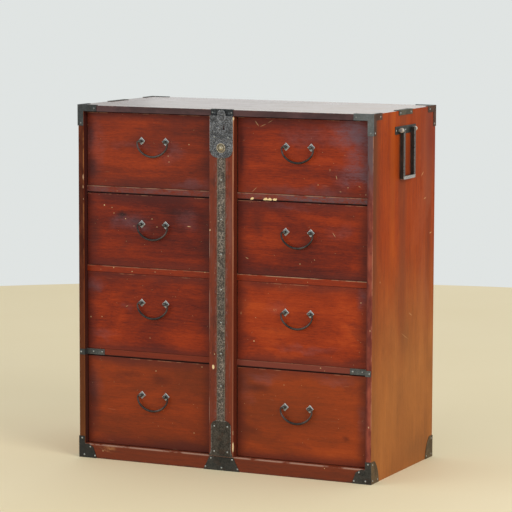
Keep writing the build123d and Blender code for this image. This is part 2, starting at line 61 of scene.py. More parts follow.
POLE_FOOT = 0.8248        # its lowest point
KEYHOLE_Z = 0.998
BOSS_Z = 0.909
DEEP = 0.02               # half the depth of a painted spot


# ---------------------------------------------------------------- node helpers
class Paint:
    """A material whose nodes are made by short calls; P is the point that is painted."""

    def __init__(self, name):
        self.mat = bpy.data.materials.new(name)
        self.mat.use_nodes = True
        self.tree = self.mat.node_tree
        self.bsdf = self.tree.nodes["Principled BSDF"]
        self.P = self.node("ShaderNodeTexCoord").outputs["Object"]
        axes = self.node("ShaderNodeSeparateXYZ", {0: self.P})
        self.x, self.y, self.z = axes.outputs

    def node(self, kind, inputs=None, **props):
        made = self.tree.nodes.new(kind)
        for key, value in props.items():
            setattr(made, key, value)
        for key, value in (inputs or {}).items():
            self.put(made.inputs[key], value)
        return made

    def put(self, socket, value):
        if isinstance(value, bpy.types.NodeSocket):
            self.tree.links.new(value, socket)
        elif socket.type == "RGBA" and len(value) == 3:
            socket.default_value = (*value, 1)
        else:
            socket.default_value = value

    def math(self, op, a, b=0.0, c=0.0, clamp=False):
        inputs = {0: a, 1: b, 2: c}
        return self.node("ShaderNodeMath", inputs, operation=op, use_clamp=clamp).outputs[0]

    def add(self, *values):
        total = values[0]
        for value in values[1:]:
            total = self.math("ADD", total, value)
        return total

    def mul(self, *values):
        total = values[0]
        for value in values[1:]:
            total = self.math("MULTIPLY", total, value)
        return total

    def most(self, *values):
        total = values[0]
        for value in values[1:]:
            total = self.math("MAXIMUM", total, value)
        return total

    def off(self, value, centre=0.0):
        """How far the value is from the centre, either way."""
        if centre:
            value = self.add(value, -centre)
        return self.math("ABSOLUTE", value)

    def radius(self, a, b):
        return self.math("SQRT", self.add(self.mul(a, a), self.mul(b, b)))

    def vector(self, op, *inputs):
        made = self.node("ShaderNodeVectorMath", dict(enumerate(inputs)), operation=op)
        return made.outputs["Value" if op == "LENGTH" else "Vector"]

    def stretch(self, scale, point=None, shift=(0, 0, 0)):
        return self.node("ShaderNodeMapping", {0: point or self.P, 1: shift, 3: scale}).outputs[0]

    def noise(self, scale, detail=2.0, rough=0.5, point=None, distortion=0.0, shift=(0, 0, 0)):
        """Noise from 0 to 1; scale is cycles per metre, one number or one for each axis."""
        size = scale if isinstance(scale, tuple) else (scale,) * 3
        vector = self.stretch(size, point, shift)
        inputs = {"Vector": vector, "Scale": 1.0, "Detail": detail, "Roughness": rough}
        inputs["Distortion"] = distortion
        return self.node("ShaderNodeTexNoise", inputs).outputs["Fac"]

    def step(self, value, low, high, to=(0.0, 1.0)):
        """Smooth from to[0] at low to to[1] at high."""
        inputs = {0: value, 1: low, 2: high, 3: to[0], 4: to[1]}
        return self.node("ShaderNodeMapRange", inputs, interpolation_type="SMOOTHSTEP").outputs[0]

    def ramp(self, value, stops):
        made = self.node("ShaderNodeValToRGB", {0: value})
        points = made.color_ramp.elements
        while len(points) < len(stops):
            points.new(0.5)
        for point, (place, colour) in zip(points, stops):
            point.position = place
            point.color = (*colour, 1)
        return made.outputs[0]

    def mix(self, amount, a, b, blend="MIX"):
        made = self.node("ShaderNodeMix", data_type="RGBA", blend_type=blend)
        self.put(made.inputs[0], amount)
        self.put(made.inputs[6], a)
        self.put(made.inputs[7], b)
        return made.outputs[2]

    def cover(self, tone, *amounts):
        """The tone goes over the colour, by the product of the amounts."""
        self.colour = self.mix(self.mul(*amounts), self.colour, tone)

    def near(self, centre, size, turn=(0, 0, 0), soft=0.55, point=None):
        """A blob of 1 in an ellipsoid of those half sizes, ragged where point is ragged."""
        made = self.node("ShaderNodeMapping", {0: point or self.P}, vector_type="TEXTURE")
        for key, value in ((1, centre), (2, turn), (3, size)):
            self.put(made.inputs[key], value)
        return self.step(self.vector("LENGTH", made.outputs[0]), 1.0, soft)

    def ragged(self, amount, scale=120):
        """P, moved about by noise."""
        inputs = {"Vector": self.P, "Scale": float(scale), "Detail": 3.0}
        cloud = self.node("ShaderNodeTexNoise", inputs).outputs["Color"]
        moved = self.vector("SUBTRACT", cloud, (0.5, 0.5, 0.5))
        return self.vector("MULTIPLY_ADD", moved, (amount,) * 3, self.P)

    def specks(self, scale, chance, size, shift=(0, 0, 0)):
        """Small scattered dots: about one cell in 1 / chance has one."""
        vector = self.stretch((scale,) * 3, shift=shift)
        cells = self.node("ShaderNodeTexVoronoi", {"Vector": vector, "Scale": 1.0})
        pick = self.node("ShaderNodeSeparateColor", {0: cells.outputs["Color"]}).outputs[0]
        dot = self.step(cells.outputs["Distance"], size, size * 0.5)
        return self.mul(dot, self.math("LESS_THAN", pick, chance))

    def finish(self, roughness, height=None, depth=0.001, **fixed):
        self.put(self.bsdf.inputs["Base Color"], self.colour)
        self.put(self.bsdf.inputs["Roughness"], roughness)
        for key, value in fixed.items():
            self.bsdf.inputs[key.replace("_", " ")].default_value = value
        if height is not None:
            inputs = {"Height": height, "Distance": depth, "Strength": 1.0}
            self.put(self.bsdf.inputs["Normal"], self.node("ShaderNodeBump", inputs).outputs[0])
        return self.mat


def dress(material, *names):
    """The CAD nodes take the material on all their slots."""
    for name in names:
        materials = nodes[name].data.materials
        if not len(materials):
            materials.append(material)
        for i in range(len(materials)):
            materials[i] = material


# ---------------------------------------------------------------- lacquered wood
def grain(p, axis, shift=(0, 0, 0)):
    """Bands, streaks and pores along one axis, each from 0 to 1."""
    def scale(along, across):
        return tuple(along if i == axis else across for i in range(3))

    bent = p.ragged(0.02, 5)
    bands = p.noise(scale(1.6, 30), 3.0, 0.55, point=bent, distortion=0.3, shift=shift)
    streaks = p.noise(scale(4.5, 180), 4.0, 0.7, point=bent, shift=shift)
    pores = p.noise(scale(45, 900), 1.0, 0.5, point=bent, shift=shift)
    return bands, streaks, pores


def grain_tone(p, bands, streaks, pores):
    fine = p.step(pores, 0.42, 0.72, (0.03, -0.06))
    return p.add(p.mul(bands, 0.22), p.mul(streaks, 0.28), fine, 0.25)


RED = (
    (0.28, (0.075, 0.01, 0.007)), (0.42, (0.16, 0.018, 0.007)), (0.52, (0.245, 0.027, 0.006)),
    (0.62, (0.33, 0.038, 0.007)), (0.74, (0.43, 0.06, 0.01)),
)
SIDE_TONES = (
    (0.28, (0.15, 0.024, 0.006)), (0.42, (0.235, 0.034, 0.006)), (0.54, (0.325, 0.048, 0.006)),
    (0.66, (0.415, 0.076, 0.007)), (0.78, (0.52, 0.125, 0.012)),
)
# tones of the painted floor bounce towards the sides' foot
FLOOR_BOUNCE_TONES = (
    (0.28, (0.215, 0.08, 0.024)), (0.45, (0.31, 0.11, 0.03)), (0.6, (0.39, 0.138, 0.036)),
    (0.76, (0.47, 0.185, 0.052)),
)
TOP_TONES = (
    (0.3, (0.07, 0.018, 0.011)), (0.45, (0.115, 0.03, 0.015)), (0.6, (0.165, 0.045, 0.02)),
    (0.76, (0.22, 0.07, 0.03)),
)
PALE = (0.5, 0.27, 0.15)
CREAM = (0.78, 0.56, 0.28)
# greyish bloom that is partly a painted sheen, for the drawers' hazes
DUST_AND_SHEEN = (0.14, 0.08, 0.098)
SOOT = (0.03, 0.009, 0.009)
# painted shade for the gaps round the drawer fronts and below the rails
GAP_SHADE = (0.012, 0.004, 0.004)


def front_edges(p):
    """1 on the faces of the case's front edges."""
    return p.step(p.y, FRONT + 0.0012, FRONT + 0.0004)


def wood_relief(p, streaks, pores, other, weight):
    return p.add(p.mul(streaks, 0.5), p.mul(pores, 0.3), p.mul(other, weight))


def drawer_lacquer(
    name, node, seed, marks=(), hazes=(), smudges=(), warm=0.0, lift=0.0, dirt_and_gap_shade=0.8, lean=None,
):
    """The lacquer of a drawer front: marks are pale, hazes are greyish bloom with a painted sheen,
    and smudges are dark.
    """
    p = Paint(name)
    lo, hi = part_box(node)
    shift = (seed * 3.7, seed * 1.3, seed * 2.9)
    bands, streaks, pores = grain(p, 0, shift)
    glow = p.noise(
        (3.6, 3.6, 8.5), 3.0, 0.55, distortion=0.8, shift=(shift[1], shift[2], shift[0]),
    )
    grit = p.noise((100, 100, 330), 3.0, 0.75, shift=shift)
    tone = p.add(
        grain_tone(p, bands, streaks, pores), p.mul(glow, 0.66), p.mul(grit, 0.2), lift - 0.43,
    )
    if lean:
        to_right = p.mul(p.add(p.x, -(lo.x + hi.x) / 2), lean[0])
        upwards = p.mul(p.add(p.z, -(lo.z + hi.z) / 2), lean[1])
        tone = p.add(tone, to_right, upwards)
    p.colour = p.ramp(tone, RED)
    # an orange tint over the front: painted warm floor bounce, strongest on the lowest drawers
    if warm:
        p.cover((0.3, 0.066, 0.014), warm)
    # darker and bluer towards the edges, unevenly
    wander = p.noise((9, 9, 14), 4.0, 0.6, distortion=0.4, shift=shift)
    side = p.math("MINIMUM", p.add(p.x, -lo.x), p.add(p.mul(p.x, -1.0), hi.x))
    ends = p.math("MINIMUM", p.add(p.z, -lo.z), p.add(p.mul(p.z, -1.0), hi.z))
    edge = p.math("MINIMUM", side, p.mul(ends, 1.25))
    rim = p.step(p.add(edge, p.mul(wander, -0.052)), -0.024, 0.018, (1.0, 0.0))
    p.cover((0.08, 0.018, 0.015), rim, 0.6)
    patches = p.noise((7, 7, 16), 3.0, 0.6, distortion=0.8, shift=(shift[2], shift[0], shift[1]))
    patches = p.step(patches, 0.56, 0.72)
    p.cover((0.1, 0.018, 0.012), patches, 0.36)
    ragged = p.ragged(0.012, 70)
    for x, z, rx, rz, strength in smudges:
        blot = p.near((x, RECESS, z), (rx, DEEP, rz), soft=0.1, point=ragged)
        p.cover(SOOT, blot, strength)
    # hazes: greyish bloom on the lacquer, partly a painted reflection
    dull_and_sheen = 0.0
    torn = p.ragged(0.05, 24)
    for x, z, rx, rz, strength in hazes:
        blot = p.near((x, RECESS, z), (rx, DEEP, rz), soft=0.2, point=torn)
        dull_and_sheen = p.most(dull_and_sheen, p.mul(blot, strength))
    if hazes:
        veil = p.add(p.mul(wander, 0.4), p.mul(streaks, 0.25), p.mul(grit, 0.35))
        p.cover(DUST_AND_SHEEN, dull_and_sheen, p.step(veil, 0.34, 0.66))
    # specks and scratches
    dots = p.most(
        p.mul(p.specks(240, 0.012, 0.2, shift), 0.9), p.mul(p.specks(85, 0.004, 0.11, shift), 0.8),
    )
    hair = p.noise((14, 10, 260), 2.0, 0.5, point=p.ragged(0.03, 9), shift=shift)
    hair = p.mul(p.step(hair, 0.735, 0.78), p.step(wander, 0.5, 0.6))
    p.cover(PALE, hair, 0.3)
    p.cover(CREAM, dots, 0.75)
    fine = p.ragged(0.0016, 500)
    for x, z, rx, rz, turn, strength in marks:
        scratch = p.near(
            (x, RECESS, z), (rx, DEEP, rz), (0, math.radians(turn), 0), 0.3, fine
        )
        p.cover(CREAM, scratch, strength)
    # painted shade in the joint, and the front's upper arris painted pale here and there, wear
    # with a painted highlight on it
    joint = p.step(edge, 0.0026, 0.0006)
    p.cover(GAP_SHADE, joint, dirt_and_gap_shade)
    # the upper arris: worn pale, with a painted highlight
    above = p.add(p.z, -hi.z)
    arris = p.mul(p.step(above, -0.004, -0.0022), p.step(above, -0.0012, -0.0022))
    arris = p.mul(arris, p.step(p.noise((24, 24, 24), 3.0, 0.7, shift=shift), 0.48, 0.62))
    p.cover(PALE, arris, 0.42)
    rough = p.add(0.32, p.mul(wander, 0.14), p.mul(streaks, 0.1), p.mul(rim, 0.08))
    height = p.add(p.mul(streaks, 0.5), p.mul(pores, 0.25), p.mul(bands, 0.5), p.mul(dots, -0.8))
    return p.finish(rough, height, 0.00035, Specular_IOR_Level=0.14)


# hazes and smudges: x, z, half width, half height, strength
# marks: x, z, half length, half width, turn in degrees, strength
# lean: how much lighter it gets a metre to the right, and a metre up
DRAWERS = {
    "left_1": dict(
        hazes=[
            (-0.18, 0.89, 0.07, 0.045, 0.5), (-0.41, 0.9, 0.05, 0.11, 0.3),
            (-0.1, 0.8, 0.09, 0.02, 0.45), (-0.3, 0.905, 0.09, 0.016, 0.35),
        ],
        smudges=[(-0.42, 0.84, 0.02, 0.05, 0.5), (-0.425, 0.93, 0.016, 0.06, 0.45)],
        marks=[
            (-0.178, 0.878, 0.0016, 0.0016, 0, 0.8), (-0.1753, 0.8614, 0.003, 0.0012, 0, 0.7),
            (-0.1124, 0.9126, 0.0016, 0.0022, 0, 0.8),
        ],
        warm=0.1, lift=-0.08,
    ),
    "right_1": dict(
        hazes=[
            (0.39, 0.96, 0.11, 0.062, 0.95), (0.405, 0.845, 0.11, 0.055, 1.0),
            (0.25, 0.945, 0.11, 0.037, 0.4), (0.41, 0.89, 0.06, 0.06, 0.9),
            (0.26, 0.8, 0.17, 0.02, 0.35), (0.432, 0.88, 0.022, 0.12, 0.9),
        ],
        smudges=[(0.05, 0.9, 0.012, 0.09, 0.5)],
        marks=[
            (0.0975, 0.9785, 0.012, 0.0011, 52, 0.5), (0.1165, 0.9741, 0.0125, 0.0009, -24, 0.42),
            (0.138, 0.985, 0.0118, 0.0008, -30, 0.4), (0.0905, 0.7953, 0.0148, 0.0009, -43, 0.35),
            (0.3377, 0.8388, 0.0072, 0.0012, 75, 0.5), (0.406, 0.8165, 0.0052, 0.001, 20, 0.5),
            (0.2827, 0.816, 0.002, 0.002, 0, 0.5), (0.35, 0.8, 0.004, 0.0009, 12, 0.5),
            (0.372, 0.812, 0.0022, 0.0016, 0, 0.6), (0.425, 0.795, 0.002, 0.0016, 0, 0.6),
            (0.318, 0.858, 0.0012, 0.0046, 0, 0.4),
        ],
        lift=0.04, lean=(0.0, -0.5),
    ),
    "left_2": dict(
        hazes=[(-0.3, 0.685, 0.1, 0.035, 0.55), (-0.12, 0.7, 0.05, 0.04, 0.35)],
        smudges=[
            (-0.325, 0.706, 0.026, 0.016, 0.95), (-0.28, 0.69, 0.03, 0.012, 0.7),
            (-0.15, 0.72, 0.1, 0.012, 0.5), (-0.41, 0.66, 0.03, 0.06, 0.4),
        ],
        marks=[
            (-0.382, 0.7306, 0.0028, 0.0024, 0, 0.95), (-0.3575, 0.7249, 0.0018, 0.0016, 0, 0.8),
            (-0.3511, 0.7092, 0.0018, 0.0016, 0, 0.7), (-0.3138, 0.695, 0.002, 0.002, 0, 0.9),
            (-0.2294, 0.6979, 0.0018, 0.0018, 0, 0.8), (-0.2869, 0.6752, 0.0018, 0.0014, 0, 0.7),
            (-0.1124, 0.682, 0.0085, 0.0013, 4, 0.75), (-0.2135, 0.6759, 0.003, 0.0014, 0, 0.7),
            (-0.2486, 0.6429, 0.0016, 0.0014, 0, 0.6),
        ],
        lift=-0.11,
    ),
    "right_2": dict(
        hazes=[(0.35, 0.69, 0.06, 0.03, 0.4), (0.2, 0.75, 0.1, 0.012, 0.3)],
        smudges=[(0.1, 0.7, 0.03, 0.05, 0.4), (0.38, 0.73, 0.05, 0.02, 0.4)],
        marks=[
            (0.3313, 0.6808, 0.01, 0.001, 53, 0.5), (0.068, 0.603, 0.0066, 0.0012, 22, 0.55),
            (0.2298, 0.5952, 0.0018, 0.0018, 0, 0.7), (0.2735, 0.6088, 0.0022, 0.0014, 0, 0.7),
        ],
        lift=-0.04,
    ),
    "left_3": dict(
        hazes=[
            (-0.31, 0.445, 0.03, 0.014, 0.35), (-0.42, 0.5, 0.05, 0.03, 0.45),
            (-0.38, 0.36, 0.06, 0.02, 0.35),
        ],
        marks=[
            (-0.4271, 0.4068, 0.002, 0.002, 0, 0.8), (-0.3912, 0.4091, 0.0018, 0.0018, 0, 0.7),
            (-0.3101, 0.4448, 0.006, 0.001, -30, 0.5), (-0.2364, 0.3576, 0.0018, 0.0018, 0, 0.6),
        ],
        lift=-0.02, dirt_and_gap_shade=0.15,
    ),
    "right_3": dict(
        hazes=[
            (0.16, 0.47, 0.05, 0.03, 0.3), (0.42, 0.51, 0.03, 0.04, 0.6),
            (0.25, 0.36, 0.12, 0.016, 0.35),
        ],
        marks=[
            (0.0903, 0.3713, 0.003, 0.0022, 0, 0.75), (0.1514, 0.4624, 0.0052, 0.0008, 80, 0.5),
            (0.1575, 0.4627, 0.0052, 0.0008, 84, 0.4), (0.413, 0.4981, 0.0022, 0.002, 0, 0.7),
            (0.05, 0.4475, 0.0012, 0.006, 0, 0.4),
        ],
        warm=0.02, lift=0.075, dirt_and_gap_shade=0.15,
    ),
    "left_4": dict(
        hazes=[(-0.42, 0.22, 0.04, 0.07, 0.18)],
        smudges=[
            (-0.2, 0.24, 0.045, 0.022, 0.4), (-0.42, 0.2, 0.02, 0.08, 0.4),
            (-0.3, 0.25, 0.06, 0.012, 0.3),
        ],
        marks=[
            (-0.2174, 0.2641, 0.0022, 0.0016, 0, 0.8), (-0.0966, 0.0953, 0.0018, 0.0022, 0, 0.6),
            (-0.0715, 0.2862, 0.003, 0.0014, 0, 0.6),
        ],
        warm=0.32, lift=-0.085,
    ),
    "right_4": dict(
        hazes=[
            (0.12, 0.27, 0.08, 0.02, 0.32), (0.07, 0.22, 0.035, 0.05, 0.25),
            (0.33, 0.275, 0.08, 0.018, 0.3), (0.42, 0.17, 0.025, 0.08, 0.25),
        ],
        smudges=[
            (0.372, 0.118, 0.016, 0.012, 0.5), (0.1, 0.24, 0.06, 0.02, 0.5),
            (0.08, 0.12, 0.05, 0.03, 0.3),
        ],
        marks=[(0.1829, 0.254, 0.0012, 0.0026, 0, 0.5)], warm=0.42, lift=0.045, lean=(0.5, 0.0),
    ),
}


def rail_lacquer():
    """Rails: a pale line along the upper front edge, wear with a painted highlight, painted shade
    in the gaps below them, and chips.
    """
    p = Paint("lacquer_rails")
    bands, streaks, pores = grain(p, 0, (5.1, 2.2, 0.7))
    p.colour = p.ramp(grain_tone(p, bands, streaks, pores), RED)
    second = p.step(p.off(p.z, RAIL_TOPS[1] - RAIL_HEIGHT / 2), 0.02, 0.012)
    browned = p.math("MULTIPLY_ADD", second, -0.36, 0.5)
    p.cover((0.125, 0.028, 0.017), browned)
    wander = p.noise((24, 24, 60), 4.0, 0.65)
    mist = p.step(p.noise((120, 120, 260), 3.0, 0.7), 0.4, 0.62)
    low = p.near((0, RECESS, RAIL_TOPS[2]), (3.0, 0.05, 0.03), soft=0.9)
    right = p.mul(low, p.step(p.x, -0.05, 0.05))
    p.cover((0.19, 0.045, 0.03), right, 0.8)
    # a greyish patch on the top rail, stronger to the right: dull lacquer and a painted sheen
    dull_and_sheen = p.near((0.02, RECESS, RAIL_TOPS[0]), (0.8, 0.05, 0.03), soft=0.8)
    dull_and_sheen = p.mul(dull_and_sheen, p.add(p.mul(p.step(wander, 0.4, 0.66), 0.5), p.mul(mist, 0.5)))
    dull_and_sheen = p.mul(dull_and_sheen, p.step(p.x, 0.1, 0.26, (0.6, 1.15)))
    p.cover((0.12, 0.078, 0.088), dull_and_sheen, 0.86)
    # the pale line on the upper arris: wear with a painted highlight, stronger on the right
    worn = 0.0
    for z, strength, left in zip(RAIL_TOPS, (0.62, 1.0, 0.2), (0.9, 0.45, 0.2)):
        line = p.step(p.off(p.z, z), 0.003, 0.0008)
        line = p.mul(line, p.step(p.x, -0.02, 0.02, (left * strength, strength)))
        worn = p.most(worn, line)
    front = p.step(p.y, RECESS + 0.004, RECESS + 0.001)
    worn = p.mul(worn, p.step(wander, 0.34, 0.58), front)
    p.cover((0.45, 0.25, 0.155), worn)
    # painted shade in the gap below each rail
    for z, strength in zip(RAIL_TOPS, (0.85, 0.1, 0.85)):
        joint = p.step(p.off(p.z, z - RAIL_HEIGHT), 0.003, 0.0008)
        p.cover(GAP_SHADE, joint, front, strength)
    p.cover(CREAM, p.specks(170, 0.03, 0.17), 0.8)
    fine = p.ragged(0.004, 300)
    torn = p.ragged(0.01, 170)
    for x, rx, rz in ((0.084, 0.0055, 0.004), (0.125, 0.0095, 0.004), (0.1365, 0.007, 0.0044),
                      (0.1535, 0.0072, 0.0038)):
        chip = p.near((x, RECESS, RAIL_TOPS[0] - 0.0155), (rx, DEEP, rz), soft=0.7, point=torn)
        p.cover((0.86, 0.66, 0.34), chip)
    for x, z, r in (
        (0.207, 0.317, 0.0022), (0.2937, 0.3095, 0.0024), (-0.353, 0.5532, 0.0023),
        (-0.2937, 0.545, 0.002), (-0.2201, 0.5475, 0.0018), (-0.0622, 0.5555, 0.0021),
    ):
        chip = p.near((x, RECESS, z), (r, DEEP, r), soft=0.2, point=fine)
        p.cover(CREAM, chip, 0.8)
    rough = p.add(0.34, p.mul(wander, 0.16))
    height = wood_relief(p, streaks, pores, wander, 0.4)
    return p.finish(rough, height, 0.0004, Specular_IOR_Level=0.15)


def base_lacquer():
    """The base rail: a worn upper edge with a painted highlight, and a patch where the lacquer has
    gone.
    """
    p = Paint("lacquer_base_rail")
    bands, streaks, pores = grain(p, 0, (1.1, 8.2, 4.7))
    p.colour = p.ramp(grain_tone(p, bands, streaks, pores), RED)
    p.cover((0.11, 0.038, 0.018), 0.55)
    wander = p.noise((20, 20, 46), 4.0, 0.65)
    spoiled = p.near(
        (-0.362, FRONT, 0.03), (0.036, DEEP, 0.012), soft=0.1, point=p.ragged(0.02, 90),
    )
    p.cover((0.36, 0.15, 0.06), spoiled, p.step(wander, 0.42, 0.55))
    # the pale upper edge: wear with a painted highlight
    top = p.step(p.off(p.z, BASE_TOP), 0.0048, 0.0018)
    worn = p.mul(top, p.step(p.y, FRONT + 0.01, FRONT + 0.002), p.step(wander, 0.36, 0.52))
    p.cover((0.4, 0.24, 0.18), worn, 0.85)
    p.cover(CREAM, p.specks(95, 0.03, 0.16))
    foot = p.mul(p.step(p.z, 0.01, 0.001), p.step(wander, 0.35, 0.6))
    p.cover((0.06, 0.03, 0.02), foot, 0.6)
    rough = p.add(0.36, p.mul(wander, 0.16))
    height = wood_relief(p, streaks, pores, wander, 0.5)
    return p.finish(rough, height, 0.0004, Specular_IOR_Level=0.15)


def side_lacquer():
    """The sides: browner and paler towards the foot as a painted floor bounce, with upright bands.
    """
    p = Paint("lacquer_sides")
    bands, streaks, pores = grain(p, 2, (0.4, 0.9, 0.2))
    tone = grain_tone(p, bands, streaks, pores)
    drift = p.noise((3, 6, 3), 3.0, 0.6)
    clouds = p.noise((6, 9, 4.5), 4.0, 0.6, distortion=0.5, shift=(2, 5, 1))
    threads = p.noise((420, 420, 7), 3.0, 0.65)
    tone = p.add(tone, p.mul(clouds, 0.36), p.mul(threads, 0.26), -0.31)
    p.colour = p.ramp(tone, SIDE_TONES)
    floor_bounce = p.ramp(tone, FLOOR_BOUNCE_TONES)
    height_tone = p.add(p.z, p.mul(drift, 0.3))
    # painted floor bounce: browner and paler towards the foot
    p.cover(floor_bounce, p.step(height_tone, 0.84, 0.34))
    # upright bands where boards of one side meet, and the shade below the handle
    for y, half, strength in ((0.0, 0.044, 0.5), (-0.2, 0.018, 0.4), (0.19, 0.03, 0.3)):
        band = p.step(p.off(p.add(p.y, -y, p.mul(drift, 0.02))), half, half * 0.2)
        band = p.mul(band, p.step(p.z, 0.25, 0.6, (0.15, 1.0)))
        p.cover((0.15, 0.04, 0.018), band, strength)
    amber = p.step(p.off(p.add(p.y, 0.075, p.mul(drift, 0.02))), 0.026, 0.006)
    p.cover((0.47, 0.095, 0.008), amber, p.step(p.z, 0.4, 0.7), 0.34)
    misty = p.mul(p.step(p.y, 0.02, 0.2), p.step(clouds, 0.42, 0.62), p.step(p.z, 0.3, 0.6))
    p.cover((0.28, 0.105, 0.06), misty, 0.28)
    # a darker head of the back edge
    back_shade = p.mul(p.step(p.y, 0.1, 0.18), p.step(p.add(p.z, p.mul(drift, 0.1)), 0.76, 0.98))
    p.cover((0.18, 0.03, 0.018), back_shade, 0.55)
    # front edges: redder and darker, with pale and dark lines along their arrises
    wander = p.noise((60, 60, 16), 4.0, 0.65)
    front = front_edges(p)
    left_edge = p.mix(p.step(wander, 0.3, 0.7), (0.055, 0.014, 0.008), (0.118, 0.03, 0.014))
    left_edge = p.mix(p.step(p.z, 0.55, 0.05, (0.0, 0.7)), left_edge, (0.165, 0.058, 0.02))
    right_edge = p.mix(p.step(wander, 0.3, 0.7), (0.14, 0.032, 0.026), (0.32, 0.078, 0.048))
    shaded = p.step(p.x, INNER + 0.007, INNER + 0.001)
    right_edge = p.mix(p.mul(shaded, 0.55), right_edge, (0.052, 0.013, 0.013))
    hazy = p.mul(p.step(p.z, 0.74, 0.9), p.step(wander, 0.25, 0.55))
    right_edge = p.mix(p.mul(hazy, 0.85), right_edge, (0.105, 0.088, 0.098))
    p.cover(p.mix(p.step(p.x, -0.1, 0.1), left_edge, right_edge), front)
    across = p.off(p.x)
    # a pale line on the inner arris of the left front edge: wear with a painted highlight,
    # stronger higher up
    line = p.step(p.off(across, INNER), 0.0032, 0.001)
    ramp = p.mul(p.step(p.z, 0.5, 0.8, (0.12, 1.0)), p.step(p.x, 0.1, -0.1))
    worn = p.mul(line, front, ramp, p.step(wander, 0.4, 0.54))
    p.cover((0.36, 0.15, 0.05), worn, 0.7)
    outer = p.mul(p.step(across, SIDE - 0.0022, SIDE - 0.0004), front, p.step(wander, 0.46, 0.6))
    p.cover((0.42, 0.21, 0.13), outer, 0.7)
    # painted shade over the inner faces of the sides, in the recess behind the front edges
    dark = p.step(across, SIDE - 0.0006, SIDE - 0.0014)
    inner = p.mul(dark, p.step(p.y, FRONT + 0.001, FRONT + 0.003))
    p.cover((0.045, 0.012, 0.011), inner, 0.95)
    smoke = p.step(p.add(p.y, p.mul(wander, -0.012)), FRONT + 0.06, FRONT - 0.004)
    smoke = p.mul(
        smoke, p.step(p.y, FRONT + 0.0004, FRONT + 0.0012),
        p.step(across, SIDE - 0.0014, SIDE - 0.0006),
    )
    smoke = p.mul(smoke, p.step(height_tone, 0.45, 1.0, (0.22, 1.0)))
    p.cover((0.075, 0.036, 0.017), smoke, 0.66)
    # soot round the carrying handle
    sooty = p.near(
        (0, MID_Y - 0.02, 0.885), (1.0, 0.085, 0.115), soft=0.35, point=p.ragged(0.06, 16),
    )
    p.cover((0.12, 0.03, 0.012), sooty, p.step(p.y, FRONT + 0.02, FRONT + 0.05), 0.4)
    # two soft stains
    for y, z, ry, rz, strength in (
        (0.027, 0.385, 0.04, 0.06, 0.34), (0.1, 0.045, 0.17, 0.055, 0.34),
    ):
        stain = p.near((0, y, z), (1.0, ry, rz), soft=0.1, point=p.ragged(0.05, 20))
        p.cover((0.17, 0.075, 0.03), stain, strength)
    # scratches on the sides, and chips on their front edges
    fine = p.ragged(0.003, 250)
    for y, z, ry, rz, turn, strength in (
        (0.1372, 0.827, 0.013, 0.0024, 35, 0.85), (0.1583, 0.7563, 0.013, 0.002, 12, 0.85),
        (0.2035, 0.6534, 0.011, 0.0024, 5, 0.95), (0.056, 0.437, 0.017, 0.003, -25, 0.45),
        (0.015, 0.38, 0.038, 0.0018, -24, 0.35), (-0.168, 0.553, 0.004, 0.004, 0, 0.45),
    ):
        scratch = p.near((SIDE, y, z), (DEEP, ry, rz), (math.radians(turn), 0, 0), 0.2, fine)
        p.cover((0.6, 0.34, 0.16), scratch, strength)
    for x, z, rx, rz in (
        (-0.4395, 0.8098, 0.0022, 0.011), (-0.4398, 0.782, 0.0014, 0.007),
        (-0.439, 0.747, 0.0012, 0.003), (0.4469, 0.159, 0.002, 0.004),
        (0.4487, 0.4259, 0.0018, 0.0034),
    ):
        chip = p.near((x, FRONT, z), (rx, 0.01, rz), soft=0.3, point=fine)
        p.cover((0.62, 0.4, 0.24), chip, 0.8)
    p.cover(PALE, p.specks(70, 0.012, 0.1), 0.6)
    rough = p.add(0.44, p.mul(drift, 0.12), p.mul(streaks, 0.1))
    height = wood_relief(p, streaks, pores, bands, 0.4)
    return p.finish(rough, height, 0.00035, Specular_IOR_Level=0.04)


def top_lacquer():
    """The top: dusty under a soft coat, with a painted pale reflection growing to the right, and a
    dark front edge.
    """
    p = Paint("lacquer_top")
    bands, streaks, pores = grain(p, 0, (2.4, 6.9, 1.2))
    p.colour = p.ramp(grain_tone(p, bands, streaks, pores), TOP_TONES)
    wander = p.noise((10, 22, 22), 4.0, 0.65, distortion=0.4)
    # dust with a painted reflection, paler and warmer to the right
    dusty = p.mul(p.step(wander, 0.32, 0.66), p.step(p.x, -0.5, 0.35, (0.72, 1.0)))
    above = p.step(p.z, TOP - 0.0012, TOP - 0.0004)
    pale = p.step(p.add(p.mul(bands, 0.5), p.mul(streaks, 0.5)), 0.38, 0.62)
    pale = p.mix(pale, (0.17, 0.125, 0.105), (0.25, 0.195, 0.165))
    p.cover(pale, dusty, above, 0.62)
    warm = p.mul(p.step(p.x, -0.1, 0.42), above, p.step(wander, 0.25, 0.6))
    p.cover((0.46, 0.31, 0.2), warm, 0.45)
    fringe = p.mul(p.step(p.y, FRONT + 0.055, FRONT + 0.004), above, p.step(wander, 0.3, 0.55))
    p.cover((0.4, 0.34, 0.27), fringe, 0.45)
    front = front_edges(p)
    edge = p.mix(p.step(wander, 0.35, 0.65), (0.036, 0.012, 0.011), (0.076, 0.028, 0.028))
    p.cover(edge, front)
    lip = p.mul(p.step(p.z, TOP - 0.0026, TOP - 0.0006), front)
    worn = p.mul(lip, p.step(p.noise((45, 45, 45), 3.0, 0.7), 0.5, 0.62))
    p.cover((0.34, 0.2, 0.16), worn, 0.45)
    rough = p.add(0.24, p.mul(dusty, 0.12), p.mul(streaks, 0.08))
    height = wood_relief(p, streaks, pores, wander, 0.4)
    p.put(p.bsdf.inputs["Coat Weight"], p.mul(above, 0.48))
    return p.finish(rough, height, 0.00025, Specular_IOR_Level=0.34, Coat_Roughness=0.2)


